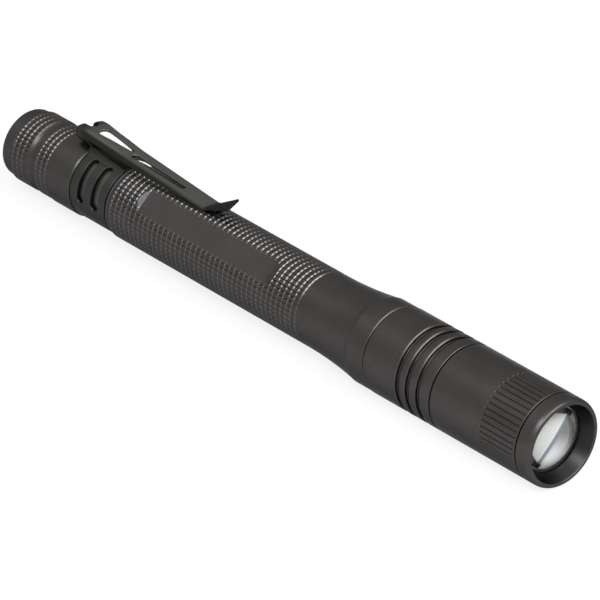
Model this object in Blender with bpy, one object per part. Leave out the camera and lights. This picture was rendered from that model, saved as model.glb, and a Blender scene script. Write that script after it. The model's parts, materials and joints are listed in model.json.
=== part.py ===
"""Slim pocket flashlight with a sliding focus head, a knurled barrel, a folded clip and a tail switch.

The light lies along X with its head towards +X and its clip on top (+Z). The origin is
below the middle of the light, level with the lowest point of the head.
"""
import math

import bmesh
import bpy
from mathutils import Matrix, Vector

MM = 0.001

# Clearances
RUN_GAP = 0.30 * MM  # between pieces that slide or turn on each other
SEAT_GAP = 0.30 * MM  # between a piece and the face that it is seated on
RING_GAP = 0.20 * MM  # around a rubber ring in its groove
CUT_OVER = 1.0 * MM  # how far a cutting tool reaches past what it cuts

# Facets of the round pieces
SIDES = 36
INNER_SIDES = 24
SMALL_SIDES = 16
ARC_STEPS = 4
SLOT_STEPS = 8
ROUND_STEPS = 4

# Cells, two in line
CELL_RADIUS = 5.25 * MM
CELL_LENGTH = 44.5 * MM
CELL_EDGE = 0.4 * MM
NUB_RADIUS = 1.9 * MM
NUB_LENGTH = 1.0 * MM
CELL_GAP = 0.35 * MM

# Barrel
BARREL_RADIUS = 7.5 * MM
BARREL_SHOULDER_ROUND = 0.6 * MM
FLARE_LENGTH = 15.2 * MM
FLARE_DIP = 0.30 * MM  # of the hollow curve below a straight cone
FLARE_RIM_LENGTH = 4.55 * MM  # plain stretch between the flare and the head
FLARE_RIM_RADIUS = 8.65 * MM
NECK_WALL = 0.85 * MM
CELL_PAST_BARREL = 1.05 * MM  # how far the front cell reaches past the barrel
PANEL_FROM_SHOULDER = 8.0 * MM
PANEL_LENGTH = 37.6 * MM
PANEL_DEPTH = 0.62 * MM
PANEL_RUN_OUT = 2.6 * MM
MILL_OVERRUN = 12.0  # degrees that the milling curve goes on past the tube's surface
PANEL_ANGLE = math.radians(44.4)  # from the clip, towards -Y

# Tail cap
CAP_RADIUS = 7.5 * MM
CAP_LENGTH = 20.5 * MM
CAP_END_RADIUS = 6.95 * MM
CAP_END_LENGTH = 2.5 * MM
CAP_END_ROUND = 0.9 * MM
CAP_END_WALL = 1.6 * MM
CAP_GRIP_LENGTH = 5.0 * MM
CAP_GROOVE_SLOPE = 1.1 * MM
CAP_GROOVE_WIDTH = 0.9 * MM
CAP_GROOVE_RADIUS = 6.8 * MM
CAP_SECOND_GRIP_LENGTH = 4.2 * MM
CAP_STEP = 0.12 * MM
CAP_MOUTH_CHAMFER = 0.25 * MM
CAP_SEAL_DEPTH = 1.7 * MM
TAIL_RING_SECTION = 0.22 * MM

# Tail switch
BUTTON_RADIUS = 4.2 * MM
BUTTON_PROUD = 1.0 * MM
BUTTON_CROWN = 0.5 * MM
BUTTON_FLANGE_RADIUS = 5.0 * MM
BUTTON_FLANGE = 1.0 * MM
BUTTON_TRAVEL = 1.5 * MM
SWITCH_RADIUS = 5.2 * MM
SWITCH_LENGTH = 6.4 * MM
SWITCH_FLOOR = 0.7 * MM
PLUNGER_RADIUS = 1.9 * MM
PLUNGER_IN_SWITCH = 1.2 * MM
SWITCH_BOARD = 1.0 * MM
RETAINER_THICKNESS = 1.1 * MM
RETAINER_HOLE = 3.9 * MM
SPRING_WIRE = 0.25 * MM
SPRING_RADIUS = 1.5 * MM
SPRING_TURNS = 3.5
TAIL_SPRING_WIRE = 0.30 * MM
TAIL_SPRING_BASE = 3.0 * MM
TAIL_SPRING_TIP = 1.9 * MM
TAIL_SPRING_LENGTH = 4.0 * MM
TAIL_SPRING_TURNS = 3.0

# Clip
BAND_WIDTH = 9.9 * MM
BAND_RADIUS = 7.2 * MM
BAND_WALL = 0.45 * MM
BAND_HALF_GAP = math.radians(16.0)
BAND_SLOTS = ((2.8 * MM, 1.6 * MM), (6.85 * MM, 1.9 * MM))  # place along the band and width
BAND_SLOT_START = math.radians(25.0)
BAND_SLOT_END = math.radians(102.0)
STRIP_WALL = 0.45 * MM
TAB_HALF_WIDTH = 2.1 * MM
TAB_SEAT = 3.6 * MM  # how far the tab's root runs inside the band
TAB_RISE = 1.6 * MM
TAB_LENGTH = 3.7 * MM  # from the band to the middle of the bend
BEND_RADIUS = 1.56 * MM
BEND_HALF_WIDTH = 2.9 * MM
ARM_LENGTH = 36.2 * MM  # from the middle of the bend to the crease
ARM_HALF_WIDTH = 2.85 * MM
ARM_TIP_HALF_WIDTH = 2.0 * MM
ARM_TIP_GAP = 0.20 * MM  # from the crease down to the barrel
EDGE_ROLL = 0.25 * MM
ROOT_INSET = 0.10 * MM  # of the tab's root inside the band's wall
TIP_CORNER = 0.4 * MM
BEND_STEPS = 8
TIP_FORWARD = 5.1 * MM
TIP_UP = 2.6 * MM
BEND_SLOT_HALF_WIDTH = 1.1 * MM
BEND_SLOT_DEPTH = 0.75 * MM  # centre of its round end, from the middle of the bend
BEND_SLOT_SIDE = 0.45 * MM
EYE_START = 4.9 * MM  # wide end of the teardrop, from the middle of the bend
EYE_LENGTH = 7.1 * MM
EYE_RADIUS = 1.15 * MM
EYE_TIP_RADIUS = 0.35 * MM
EYE_TIP_SIDE = 0.3 * MM
SLOT_START = 14.7 * MM  # wide end of the long slot, from the middle of the bend
SLOT_LENGTH = 13.3 * MM
SLOT_RADIUS = 0.75 * MM
SLOT_TIP_RADIUS = 0.42 * MM
SLOT_SIDE = -1.05 * MM
SLOT_TIP_SIDE = -0.5 * MM
CLIP_RING_SECTION = 0.35 * MM

# Head body and its stem
HEAD_RADIUS = 8.8 * MM
HEAD_LENGTH = 17.7 * MM
HEAD_EDGE = 0.15 * MM
HEAD_GROOVES = (9.25 * MM, 11.85 * MM, 14.65 * MM)  # centres, from the seam with the barrel
HEAD_GROOVE_WIDTH = 1.25 * MM
HEAD_GROOVE_DEPTH = 0.75 * MM
SPIGOT_LENGTH = 6.0 * MM
SPIGOT_WALL = 1.4 * MM
SPIGOT_LIP_RADIUS = 4.7 * MM
SPIGOT_LIP = 0.8 * MM
SEAL_SECTION = 0.35 * MM
SEAL_FROM_SHOULDER = 1.0 * MM
STEM_RADIUS = 7.35 * MM
STEM_START = 3.0 * MM  # of the long recess, from the head's front face
STEM_RECESS_RADIUS = 6.6 * MM
STEM_LAND = 0.4 * MM
STEM_RING_SLOT = 1.4 * MM
STEM_NOSE = 0.9 * MM
FOCUS_RING_SECTION = 0.45 * MM
FOCUS_RING_PROUD = 0.10 * MM
FOCUS_TRAVEL = 6.0 * MM
STOP_RING_THICKNESS = 0.8 * MM
STOP_RING_GROOVE_DEPTH = 0.65 * MM
STOP_RING_HALF_GAP = math.radians(20.0)

# Light engine
PILL_RADIUS = 5.4 * MM
PILL_CUP_WALL = 0.6 * MM
PILL_CUP_DEPTH = 5.2 * MM
PILL_FLANGE_RADIUS = 6.9 * MM
PILL_FLANGE = 1.2 * MM
CONTACT_RADIUS = 2.0 * MM
CONTACT_LENGTH = 1.3 * MM
INSULATOR_RADIUS = 4.5 * MM
BOARD_THICKNESS = 1.1 * MM
CHIP_SIZE = 2.6 * MM
CHIP_HEIGHT = 0.9 * MM
CHIP_RISE = 1.9 * MM  # above the axis
COIL_SIZE = 2.2 * MM
COIL_HEIGHT = 1.4 * MM
COIL_DROP = 2.1 * MM  # below the axis
LEAD_RADIUS = 0.5 * MM
LEAD_OFFSET = 3.0 * MM
LED_BOARD_RADIUS = 6.0 * MM
LED_SIZE = 3.45 * MM
LED_HEIGHT = 0.7 * MM
LED_DOME_RADIUS = 1.4 * MM

# Focus sleeve, bezel and lens
SLEEVE_LENGTH = 22.3 * MM
SLEEVE_GRIP_LENGTH = 9.0 * MM
SLEEVE_GRIP_FROM_FRONT = 0.2 * MM
SLEEVE_GROOVE_COUNT = 48
SLEEVE_GROOVE_DEPTH = 0.25 * MM
SLEEVE_GROOVE_HALF_WIDTH = 0.22 * MM
SLEEVE_SOCKET_WALL = 0.85 * MM
SLEEVE_LIP_RADIUS = 6.2 * MM
SLEEVE_LIP = 0.8 * MM
BEZEL_LENGTH = 3.35 * MM
BEZEL_ROUND = 0.5 * MM
BEZEL_RIM_RADIUS = 7.75 * MM  # inner edge of the flat front rim
BEZEL_SEAT_RADIUS = 6.45 * MM
BEZEL_SEAT_LIP = 0.35 * MM
BEZEL_SPIGOT_LENGTH = 2.8 * MM
BEZEL_SPIGOT_WALL = 0.4 * MM
LENS_FLANGE = 1.6 * MM
LENS_DOME_RADIUS = 6.1 * MM
LENS_DOME_HEIGHT = 2.3 * MM
LENS_BACK_RADIUS = 5.2 * MM
LENS_BACK_HEIGHT = 0.9 * MM
GASKET_SECTION = 0.42 * MM

# Stations along the light, from the tail end of the cap
button_flange_at = CAP_END_WALL + SEAT_GAP
switch_at = button_flange_at + BUTTON_FLANGE + BUTTON_TRAVEL + SEAT_GAP
switch_board_at = switch_at + SWITCH_LENGTH + SEAT_GAP
retainer_at = switch_board_at + SWITCH_BOARD + SEAT_GAP
barrel_tail_at = retainer_at + RETAINER_THICKNESS + SEAT_GAP
tail_spring_at = switch_board_at + SWITCH_BOARD + SEAT_GAP
rear_cell_at = tail_spring_at + TAIL_SPRING_LENGTH + SEAT_GAP
front_cell_at = rear_cell_at + CELL_LENGTH + SEAT_GAP
cells_end_at = front_cell_at + CELL_LENGTH
barrel_front_at = cells_end_at - CELL_PAST_BARREL
head_at = barrel_front_at + SEAT_GAP
head_front_at = head_at + HEAD_LENGTH
band_at = CAP_LENGTH + SEAT_GAP
clip_ring_at = band_at + BAND_WIDTH + RING_GAP
shoulder_at = clip_ring_at + 2 * CLIP_RING_SECTION + RING_GAP
flare_end_at = barrel_front_at - FLARE_RIM_LENGTH
flare_at = flare_end_at - FLARE_LENGTH
contact_at = cells_end_at + SEAT_GAP
pill_at = contact_at
driver_at = contact_at + CONTACT_LENGTH + SEAT_GAP
recess_at = head_front_at + STEM_START
recess_end_at = recess_at + FOCUS_TRAVEL + STOP_RING_THICKNESS + 2 * SEAT_GAP
focus_ring_at = recess_end_at + STEM_LAND
stem_end_at = focus_ring_at + STEM_RING_SLOT + STEM_NOSE
pill_flange_at = stem_end_at + SEAT_GAP
led_board_at = pill_flange_at + PILL_FLANGE + SEAT_GAP
emitter_at = led_board_at + BOARD_THICKNESS + SEAT_GAP
sleeve_at = head_front_at + SEAT_GAP
sleeve_front_at = sleeve_at + SLEEVE_LENGTH
bezel_at = sleeve_front_at + SEAT_GAP
rim_at = bezel_at + BEZEL_LENGTH

# Radii that follow from the sizes above
bore_radius = CELL_RADIUS + CELL_GAP
neck_radius = bore_radius + NECK_WALL
spigot_radius = bore_radius + SPIGOT_WALL
socket_radius = spigot_radius + RUN_GAP
head_bore_radius = PILL_RADIUS + RUN_GAP
sleeve_bore_radius = STEM_RADIUS + RUN_GAP
sleeve_socket_radius = HEAD_RADIUS - SLEEVE_SOCKET_WALL
bezel_spigot_radius = sleeve_socket_radius - RUN_GAP
bezel_bore_radius = bezel_spigot_radius - BEZEL_SPIGOT_WALL
lens_radius = bezel_bore_radius - RUN_GAP
cap_thread_radius = neck_radius + RUN_GAP
cap_switch_radius = SWITCH_RADIUS + RUN_GAP
button_hole_radius = BUTTON_RADIUS + RUN_GAP
tab_low = CAP_RADIUS + RUN_GAP
arm_tip_height = BARREL_RADIUS + ARM_TIP_GAP + STRIP_WALL

# The light is centred on the origin and stands on the head's lowest facet
tail_end_x = -(rim_at - BUTTON_PROUD) / 2
axis_z = HEAD_RADIUS * math.cos(math.pi / SIDES)


def clear_scene():
    for obj in list(bpy.data.objects):
        bpy.data.objects.remove(obj, do_unlink=True)


def material(name, color, metallic, roughness):
    """A Principled material in one plain finish."""
    mat = bpy.data.materials.new(name)
    mat.use_nodes = True
    shader = mat.node_tree.nodes["Principled BSDF"]
    shader.inputs["Base Color"].default_value = (*color, 1.0)
    shader.inputs["Metallic"].default_value = metallic
    shader.inputs["Roughness"].default_value = roughness
    mat.diffuse_color = (*color, 1.0)
    return mat


def add_object(name, bm, mat, station=0.0, smooth_below=35.0):
    """Make an object whose origin lies on the light's axis at the given station."""
    bmesh.ops.remove_doubles(bm, verts=bm.verts, dist=0.0001 * MM)
    bmesh.ops.recalc_face_normals(bm, faces=bm.faces)
    if bm.calc_volume(signed=True) < 0.0:
        bmesh.ops.reverse_faces(bm, faces=bm.faces)
    mesh = bpy.data.meshes.new(name)
    bm.to_mesh(mesh)
    bm.free()
    mesh.shade_smooth()
    mesh.set_sharp_from_angle(angle=math.radians(smooth_below))
    mesh.materials.append(mat)
    obj = bpy.data.objects.new(name, mesh)
    obj.location = (tail_end_x + station, 0.0, axis_z)
    bpy.context.scene.collection.objects.link(obj)
    return obj


def tool(obj):
    """Mark an object as a shape that only cuts or joins another one."""
    obj.hide_render = True
    obj.display_type = "WIRE"
    return obj


def combine(obj, other, operation):
    modifier = obj.modifiers.new(other.name, "BOOLEAN")
    modifier.operation = operation
    modifier.solver = "EXACT"
    modifier.object = other


def arc(center, radius, start, end, steps=ARC_STEPS):
    """Points on an arc in the (station, radius) plane, angles in degrees."""
    points = []
    for k in range(steps + 1):
        angle = math.radians(start + (end - start) * k / steps)
        points.append((center[0] + radius * math.cos(angle), center[1] + radius * math.sin(angle)))
    return points


def sagitta_arc(start, end, height, steps):
    """Points of a shallow arc from start to end that stands height off its chord, to the left."""
    chord = Vector(end) - Vector(start)
    half = chord.length / 2
    radius = (half * half + height * height) / (2 * height)
    side = Vector((-chord.y, chord.x)).normalized()
    middle = (Vector(start) + Vector(end)) / 2 + side * (height - radius)
    opening = math.asin(min(1.0, half / radius))
    points = []
    for k in range(steps + 1):
        angle = opening * (1 - 2 * k / steps)
        direction = side * math.cos(angle) - chord.normalized() * math.sin(angle)
        points.append(tuple(middle + direction * radius))
    return points


def turned(name, outline, mat, station, sides=SIDES):
    """Turn a closed outline of (station, radius) points about the light's axis."""
    bm = bmesh.new()
    half_step = math.pi / sides
    verts = []
    for x, radius in outline:
        verts.append(bm.verts.new((x - station, radius * math.sin(half_step), radius * math.cos(half_step))))
    edges = []
    for k, vert in enumerate(verts):
        following = verts[(k + 1) % len(verts)]
        on_axis = outline[k][1] == 0.0 and outline[(k + 1) % len(verts)][1] == 0.0
        if not on_axis:
            edges.append(bm.edges.new((vert, following)))
    bmesh.ops.spin(
        bm,
        geom=verts + edges,
        cent=(0.0, 0.0, 0.0),
        axis=(1.0, 0.0, 0.0),
        angle=2 * math.pi,
        steps=sides,
        use_merge=True,
    )
    return add_object(name, bm, mat, station)


def o_ring(name, station, inner_radius, section, mat):
    """Rubber ring lying around the axis; station is its tail side."""
    points = arc((station + section, inner_radius + section), section, 30, 330, 5)
    return turned(name, points, mat, station + section, INNER_SIDES)


def rectangle(start, end, inner, outer):
    return [(start, inner), (start, outer), (end, outer), (end, inner)]


def extruded(name, outline, low, high, mat, station=0.0):
    """Prism over an (x, y) outline, between two heights over the axis."""
    bm = bmesh.new()
    face = bm.faces.new([bm.verts.new((x, y, low)) for x, y in outline])
    result = bmesh.ops.extrude_face_region(bm, geom=[face])
    moved = [item for item in result["geom"] if isinstance(item, bmesh.types.BMVert)]
    bmesh.ops.translate(bm, verts=moved, vec=(0.0, 0.0, high - low))
    return add_object(name, bm, mat, station)


def sector_ring(name, start, end, inner, outer, half_gap, mat, sides):
    """Split ring around the axis, open at the bottom by twice half_gap."""
    bm = bmesh.new()
    sweep = 2 * (math.pi - half_gap)
    rings = []
    for k in range(sides + 1):
        angle = math.pi + half_gap + sweep * k / sides
        ring = []
        for x, radius in rectangle(0.0, end - start, inner, outer):
            ring.append(bm.verts.new((x, radius * math.sin(angle), radius * math.cos(angle))))
        rings.append(ring)
    for ring, following in zip(rings, rings[1:]):
        for k in range(4):
            bm.faces.new((ring[k], ring[(k + 1) % 4], following[(k + 1) % 4], following[k]))
    bm.faces.new(rings[0])
    bm.faces.new(reversed(rings[-1]))
    return add_object(name, bm, mat, start)


def spring(name, station, length, base_radius, tip_radius, wire, turns, mat):
    """Coil spring along the axis, one unbroken tube; prints its least gap to itself."""
    points_per_turn = 9
    count = int(turns * points_per_turn) + 1
    points = []
    for k in range(count):
        share = k / (count - 1)
        radius = base_radius + (tip_radius - base_radius) * share
        angle = 2 * math.pi * turns * share
        x = wire + (length - 2 * wire) * share
        points.append(Vector((x, radius * math.sin(angle), radius * math.cos(angle))))
    least = min(
        (points[a] - points[b]).length - 2 * wire
        for a in range(count)
        for b in range(a + points_per_turn // 2, count)
    )
    print(name, "least gap to itself, mm:", round(least / MM, 3))
    curve = bpy.data.curves.new(name, "CURVE")
    curve.dimensions = "3D"
    curve.bevel_depth = wire
    curve.bevel_resolution = 1
    curve.use_fill_caps = True
    line = curve.splines.new("POLY")
    line.points.add(count - 1)
    for point, place in zip(line.points, points):
        point.co = (*place, 1.0)
    curve.materials.append(mat)
    obj = bpy.data.objects.new(name, curve)
    obj.location = (tail_end_x + station, 0.0, axis_z)
    bpy.context.scene.collection.objects.link(obj)
    return obj


def box(name, size, place, station, mat, edge=0.0):
    """Block with its middle at place, measured from the axis at the station."""
    bm = bmesh.new()
    bmesh.ops.create_cube(bm, size=1.0)
    bmesh.ops.scale(bm, vec=size, verts=bm.verts)
    if edge:
        bmesh.ops.bevel(bm, geom=bm.edges[:], offset=edge, segments=1, affect="EDGES")
    bmesh.ops.translate(bm, vec=place, verts=bm.verts)
    return add_object(name, bm, mat, station)


# Head and focus pieces


def make_bezel_ring(mat):
    seat_at = bezel_at + BEZEL_SEAT_LIP
    round_center = (rim_at - BEZEL_ROUND, HEAD_RADIUS - BEZEL_ROUND)
    outline = [
        (bezel_at, bezel_spigot_radius),
        (bezel_at, HEAD_RADIUS - HEAD_EDGE),
        (bezel_at + HEAD_EDGE, HEAD_RADIUS),
        *reversed(arc(round_center, BEZEL_ROUND, 0, 90)),
        (rim_at, BEZEL_RIM_RADIUS),
        (seat_at + BEZEL_SEAT_LIP, BEZEL_SEAT_RADIUS),
        (seat_at, BEZEL_SEAT_RADIUS),
        (seat_at, bezel_bore_radius),
        (bezel_at - BEZEL_SPIGOT_LENGTH, bezel_bore_radius),
        (bezel_at - BEZEL_SPIGOT_LENGTH, bezel_spigot_radius),
    ]
    return turned("bezel_ring", outline, mat, bezel_at)


def make_lens(mat):
    front = bezel_at + BEZEL_SEAT_LIP - SEAT_GAP
    back = front - LENS_FLANGE
    dome = sagitta_arc((front, LENS_DOME_RADIUS), (front, -LENS_DOME_RADIUS), LENS_DOME_HEIGHT, 10)
    bulge = sagitta_arc((back, LENS_BACK_RADIUS), (back, -LENS_BACK_RADIUS), -LENS_BACK_HEIGHT, 6)
    outline = [
        *reversed(dome[:5]),
        (front, lens_radius),
        (back, lens_radius),
        *bulge[:3],
        (back - LENS_BACK_HEIGHT, 0.0),
        (front + LENS_DOME_HEIGHT, 0.0),
    ]
    return turned("lens", outline, mat, back)


def make_lens_gasket(mat):
    back = bezel_at + BEZEL_SEAT_LIP - SEAT_GAP - LENS_FLANGE
    place = back - SEAT_GAP - 2 * GASKET_SECTION
    return o_ring("lens_gasket", place, lens_radius - 2 * GASKET_SECTION, GASKET_SECTION, mat)


def make_grip_cutter(mat):
    """Ring of straight V-shaped bars that cut the grip's grooves into the sleeve."""
    end = sleeve_front_at - SLEEVE_GRIP_FROM_FRONT
    start = end - SLEEVE_GRIP_LENGTH
    floor = HEAD_RADIUS - SLEEVE_GROOVE_DEPTH
    top = HEAD_RADIUS + SLEEVE_GROOVE_DEPTH
    half = 2 * SLEEVE_GROOVE_HALF_WIDTH
    bm = bmesh.new()
    for k in range(SLEEVE_GROOVE_COUNT):
        angle = 2 * math.pi * (k + 0.5) / SLEEVE_GROOVE_COUNT
        out = Vector((0.0, math.sin(angle), math.cos(angle)))
        side = Vector((0.0, math.cos(angle), -math.sin(angle)))
        corners = (out * floor, out * top + side * half, out * top - side * half)
        tail = [bm.verts.new(corner) for corner in corners]
        nose = [bm.verts.new(corner + Vector((end - start, 0.0, 0.0))) for corner in corners]
        bm.faces.new(tail)
        bm.faces.new(reversed(nose))
        for a, b in ((0, 1), (1, 2), (2, 0)):
            bm.faces.new((tail[b], tail[a], nose[a], nose[b]))
    return tool(add_object("grip_cutter", bm, mat, start))


def make_focus_sleeve(mat, tool_mat):
    socket_floor = bezel_at - BEZEL_SPIGOT_LENGTH - SEAT_GAP
    ring_start = recess_at + SEAT_GAP
    ring_end = ring_start + STOP_RING_THICKNESS
    groove_radius = sleeve_bore_radius + STOP_RING_GROOVE_DEPTH
    outline = [
        (sleeve_at, sleeve_bore_radius),
        (sleeve_at, HEAD_RADIUS - HEAD_EDGE),
        (sleeve_at + HEAD_EDGE, HEAD_RADIUS),
        (sleeve_front_at - HEAD_EDGE, HEAD_RADIUS),
        (sleeve_front_at, HEAD_RADIUS - HEAD_EDGE),
        (sleeve_front_at, sleeve_socket_radius),
        (socket_floor, sleeve_socket_radius),
        (socket_floor, SLEEVE_LIP_RADIUS),
        (socket_floor - SLEEVE_LIP, SLEEVE_LIP_RADIUS),
        (socket_floor - SLEEVE_LIP, sleeve_bore_radius),
        (ring_end + RING_GAP, sleeve_bore_radius),
        (ring_end + RING_GAP, groove_radius),
        (ring_start - RING_GAP, groove_radius),
        (ring_start - RING_GAP, sleeve_bore_radius),
    ]
    sleeve = turned("focus_sleeve", outline, mat, sleeve_at)
    combine(sleeve, make_grip_cutter(tool_mat), "DIFFERENCE")
    return sleeve


def make_focus_stop_ring(mat):
    start = recess_at + SEAT_GAP
    inner = STEM_RECESS_RADIUS + RUN_GAP
    outer = sleeve_bore_radius + STOP_RING_GROOVE_DEPTH - RUN_GAP
    end = start + STOP_RING_THICKNESS
    return sector_ring("focus_stop_ring", start, end, inner, outer, STOP_RING_HALF_GAP, mat, INNER_SIDES)


def make_focus_o_ring(mat):
    place = focus_ring_at + STEM_RING_SLOT / 2 - FOCUS_RING_SECTION
    inner = STEM_RADIUS + FOCUS_RING_PROUD - 2 * FOCUS_RING_SECTION
    return o_ring("focus_o_ring", place, inner, FOCUS_RING_SECTION, mat)


def head_groove(center):
    """Outline of one square groove, from tail to head."""
    half = HEAD_GROOVE_WIDTH / 2
    floor = HEAD_RADIUS - HEAD_GROOVE_DEPTH
    return [
        (center - half, HEAD_RADIUS),
        (center - half, floor),
        (center + half, floor),
        (center + half, HEAD_RADIUS),
    ]


def make_head_body(mat):
    spigot_end = head_at - SPIGOT_LENGTH
    lip_start = cells_end_at - NUB_LENGTH + SEAT_GAP
    seal_start = head_at - SEAL_FROM_SHOULDER - 2 * SEAL_SECTION - 2 * RING_GAP
    seal_floor = spigot_radius - 2 * SEAL_SECTION
    focus_slot_floor = STEM_RADIUS - 2 * FOCUS_RING_SECTION - RING_GAP
    outline = [
        (spigot_end, bore_radius),
        (spigot_end, spigot_radius),
        (seal_start, spigot_radius),
        (seal_start, seal_floor),
        (head_at - SEAL_FROM_SHOULDER, seal_floor),
        (head_at - SEAL_FROM_SHOULDER, spigot_radius),
        (head_at, spigot_radius),
        (head_at, HEAD_RADIUS - HEAD_EDGE),
        (head_at + HEAD_EDGE, HEAD_RADIUS),
    ]
    for center in HEAD_GROOVES:
        outline += head_groove(head_at + center)
    outline += [
        (head_front_at - HEAD_EDGE, HEAD_RADIUS),
        (head_front_at, HEAD_RADIUS - HEAD_EDGE),
        (head_front_at, STEM_RADIUS),
        (recess_at, STEM_RADIUS),
        (recess_at, STEM_RECESS_RADIUS),
        (recess_end_at, STEM_RECESS_RADIUS),
        (recess_end_at, STEM_RADIUS),
        (focus_ring_at, STEM_RADIUS),
        (focus_ring_at, focus_slot_floor),
        (focus_ring_at + STEM_RING_SLOT, focus_slot_floor),
        (focus_ring_at + STEM_RING_SLOT, STEM_RADIUS),
        (stem_end_at, STEM_RADIUS),
        (stem_end_at, head_bore_radius),
        (lip_start + SPIGOT_LIP, head_bore_radius),
        (lip_start + SPIGOT_LIP, SPIGOT_LIP_RADIUS),
        (lip_start, SPIGOT_LIP_RADIUS),
        (lip_start, bore_radius),
    ]
    return turned("head_body", outline, mat, head_at)


def make_head_o_ring(mat):
    place = head_at - SEAL_FROM_SHOULDER - 2 * SEAL_SECTION - RING_GAP
    return o_ring("head_o_ring", place, spigot_radius - 2 * SEAL_SECTION + RING_GAP, SEAL_SECTION, mat)


# Light engine


def lead_tunnel(name, side, radius, start, end, mat):
    """Round bar along X, beside the axis."""
    bm = bmesh.new()
    turn = Matrix.Rotation(math.pi / 2, 4, "Y")
    bmesh.ops.create_cone(
        bm,
        cap_ends=True,
        segments=SMALL_SIDES // 2,
        radius1=radius,
        radius2=radius,
        depth=end - start,
        matrix=Matrix.Translation(((end - start) / 2, side * LEAD_OFFSET, 0.0)) @ turn,
    )
    return add_object(name, bm, mat, start)


def make_led_pill(mat, tool_mat):
    start = pill_at + SPIGOT_LIP
    cup_floor = start + PILL_CUP_DEPTH
    cup_radius = PILL_RADIUS - PILL_CUP_WALL
    front = pill_flange_at + PILL_FLANGE
    outline = [
        (start, cup_radius),
        (start, PILL_RADIUS),
        (pill_flange_at, PILL_RADIUS),
        (pill_flange_at, PILL_FLANGE_RADIUS),
        (front, PILL_FLANGE_RADIUS),
        (front, 0.0),
        (cup_floor, 0.0),
        (cup_floor, cup_radius),
    ]
    pill = turned("led_pill", outline, mat, start, INNER_SIDES)
    for side in (1, -1):
        name = f"lead_tunnel_{side}"
        ends = (cup_floor - CUT_OVER, front + CUT_OVER)
        cutter = lead_tunnel(name, side, LEAD_RADIUS + RUN_GAP, *ends, tool_mat)
        combine(pill, tool(cutter), "DIFFERENCE")
    return pill


def make_leads(positive_mat, negative_mat):
    start = driver_at + BOARD_THICKNESS + SEAT_GAP
    end = led_board_at - SEAT_GAP
    lead_tunnel("lead_positive", 1, LEAD_RADIUS, start, end, positive_mat)
    lead_tunnel("lead_negative", -1, LEAD_RADIUS, start, end, negative_mat)


def make_front_contact(mat):
    outline = [
        (contact_at, 0.0),
        (contact_at, CONTACT_RADIUS - CELL_EDGE),
        (contact_at + CELL_EDGE, CONTACT_RADIUS),
        (contact_at + CONTACT_LENGTH, CONTACT_RADIUS),
        (contact_at + CONTACT_LENGTH, 0.0),
    ]
    return turned("front_contact", outline, mat, contact_at, SMALL_SIDES)


def make_front_insulator(mat):
    start = contact_at + CELL_EDGE
    outline = rectangle(start, contact_at + CONTACT_LENGTH, CONTACT_RADIUS + RUN_GAP, INSULATOR_RADIUS)
    return turned("front_insulator", outline, mat, start, INNER_SIDES)


def make_driver_board(mat):
    outline = [
        (driver_at, 0.0),
        (driver_at, INSULATOR_RADIUS),
        (driver_at + BOARD_THICKNESS, INSULATOR_RADIUS),
        (driver_at + BOARD_THICKNESS, 0.0),
    ]
    return turned("driver_board", outline, mat, driver_at, INNER_SIDES)


def make_driver_chip(mat):
    start = driver_at + BOARD_THICKNESS + SEAT_GAP
    size = (CHIP_HEIGHT, CHIP_SIZE, CHIP_SIZE)
    return box("driver_chip", size, (CHIP_HEIGHT / 2, 0.0, CHIP_RISE), start, mat)


def make_driver_coil(mat):
    start = driver_at + BOARD_THICKNESS + SEAT_GAP
    size = (COIL_HEIGHT, COIL_SIZE, COIL_SIZE)
    return box("driver_coil", size, (COIL_HEIGHT / 2, 0.0, -COIL_DROP), start, mat)


def make_led_board(mat):
    outline = [
        (led_board_at, 0.0),
        (led_board_at, LED_BOARD_RADIUS),
        (led_board_at + BOARD_THICKNESS, LED_BOARD_RADIUS),
        (led_board_at + BOARD_THICKNESS, 0.0),
    ]
    return turned("led_board", outline, mat, led_board_at, INNER_SIDES)


def make_led_emitter(mat):
    place = (LED_HEIGHT / 2, 0.0, 0.0)
    return box("led_emitter", (LED_HEIGHT, LED_SIZE, LED_SIZE), place, emitter_at, mat, 0.1 * MM)


def make_led_dome(mat):
    start = emitter_at + LED_HEIGHT + RING_GAP
    cap = arc((start, 0.0), LED_DOME_RADIUS, 90, 0, 5)
    outline = [(start, 0.0), *cap[:-1], (start + LED_DOME_RADIUS, 0.0)]
    return turned("led_dome", outline, mat, start, SMALL_SIDES)


# Battery tube


def make_barrel(mat, tool_mat):
    socket_floor = head_at - SPIGOT_LENGTH - SEAT_GAP
    rim_radius = HEAD_RADIUS - HEAD_EDGE / 2
    round_center = (shoulder_at + BARREL_SHOULDER_ROUND, BARREL_RADIUS - BARREL_SHOULDER_ROUND)
    flare = sagitta_arc((flare_at, BARREL_RADIUS), (flare_end_at, FLARE_RIM_RADIUS), -FLARE_DIP, 6)
    outline = [
        (barrel_tail_at, bore_radius),
        (barrel_tail_at, neck_radius),
        (shoulder_at, neck_radius),
        *reversed(arc(round_center, BARREL_SHOULDER_ROUND, 90, 180)),
        *flare,
        (flare_end_at + HEAD_EDGE, rim_radius),
        (barrel_front_at - HEAD_EDGE, rim_radius),
        (barrel_front_at, rim_radius - HEAD_EDGE),
        (barrel_front_at, socket_radius),
        (socket_floor, socket_radius),
        (socket_floor, bore_radius),
    ]
    barrel = turned("barrel", outline, mat, shoulder_at)
    combine(barrel, make_panel_cutter(tool_mat), "DIFFERENCE")
    return barrel


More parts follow.
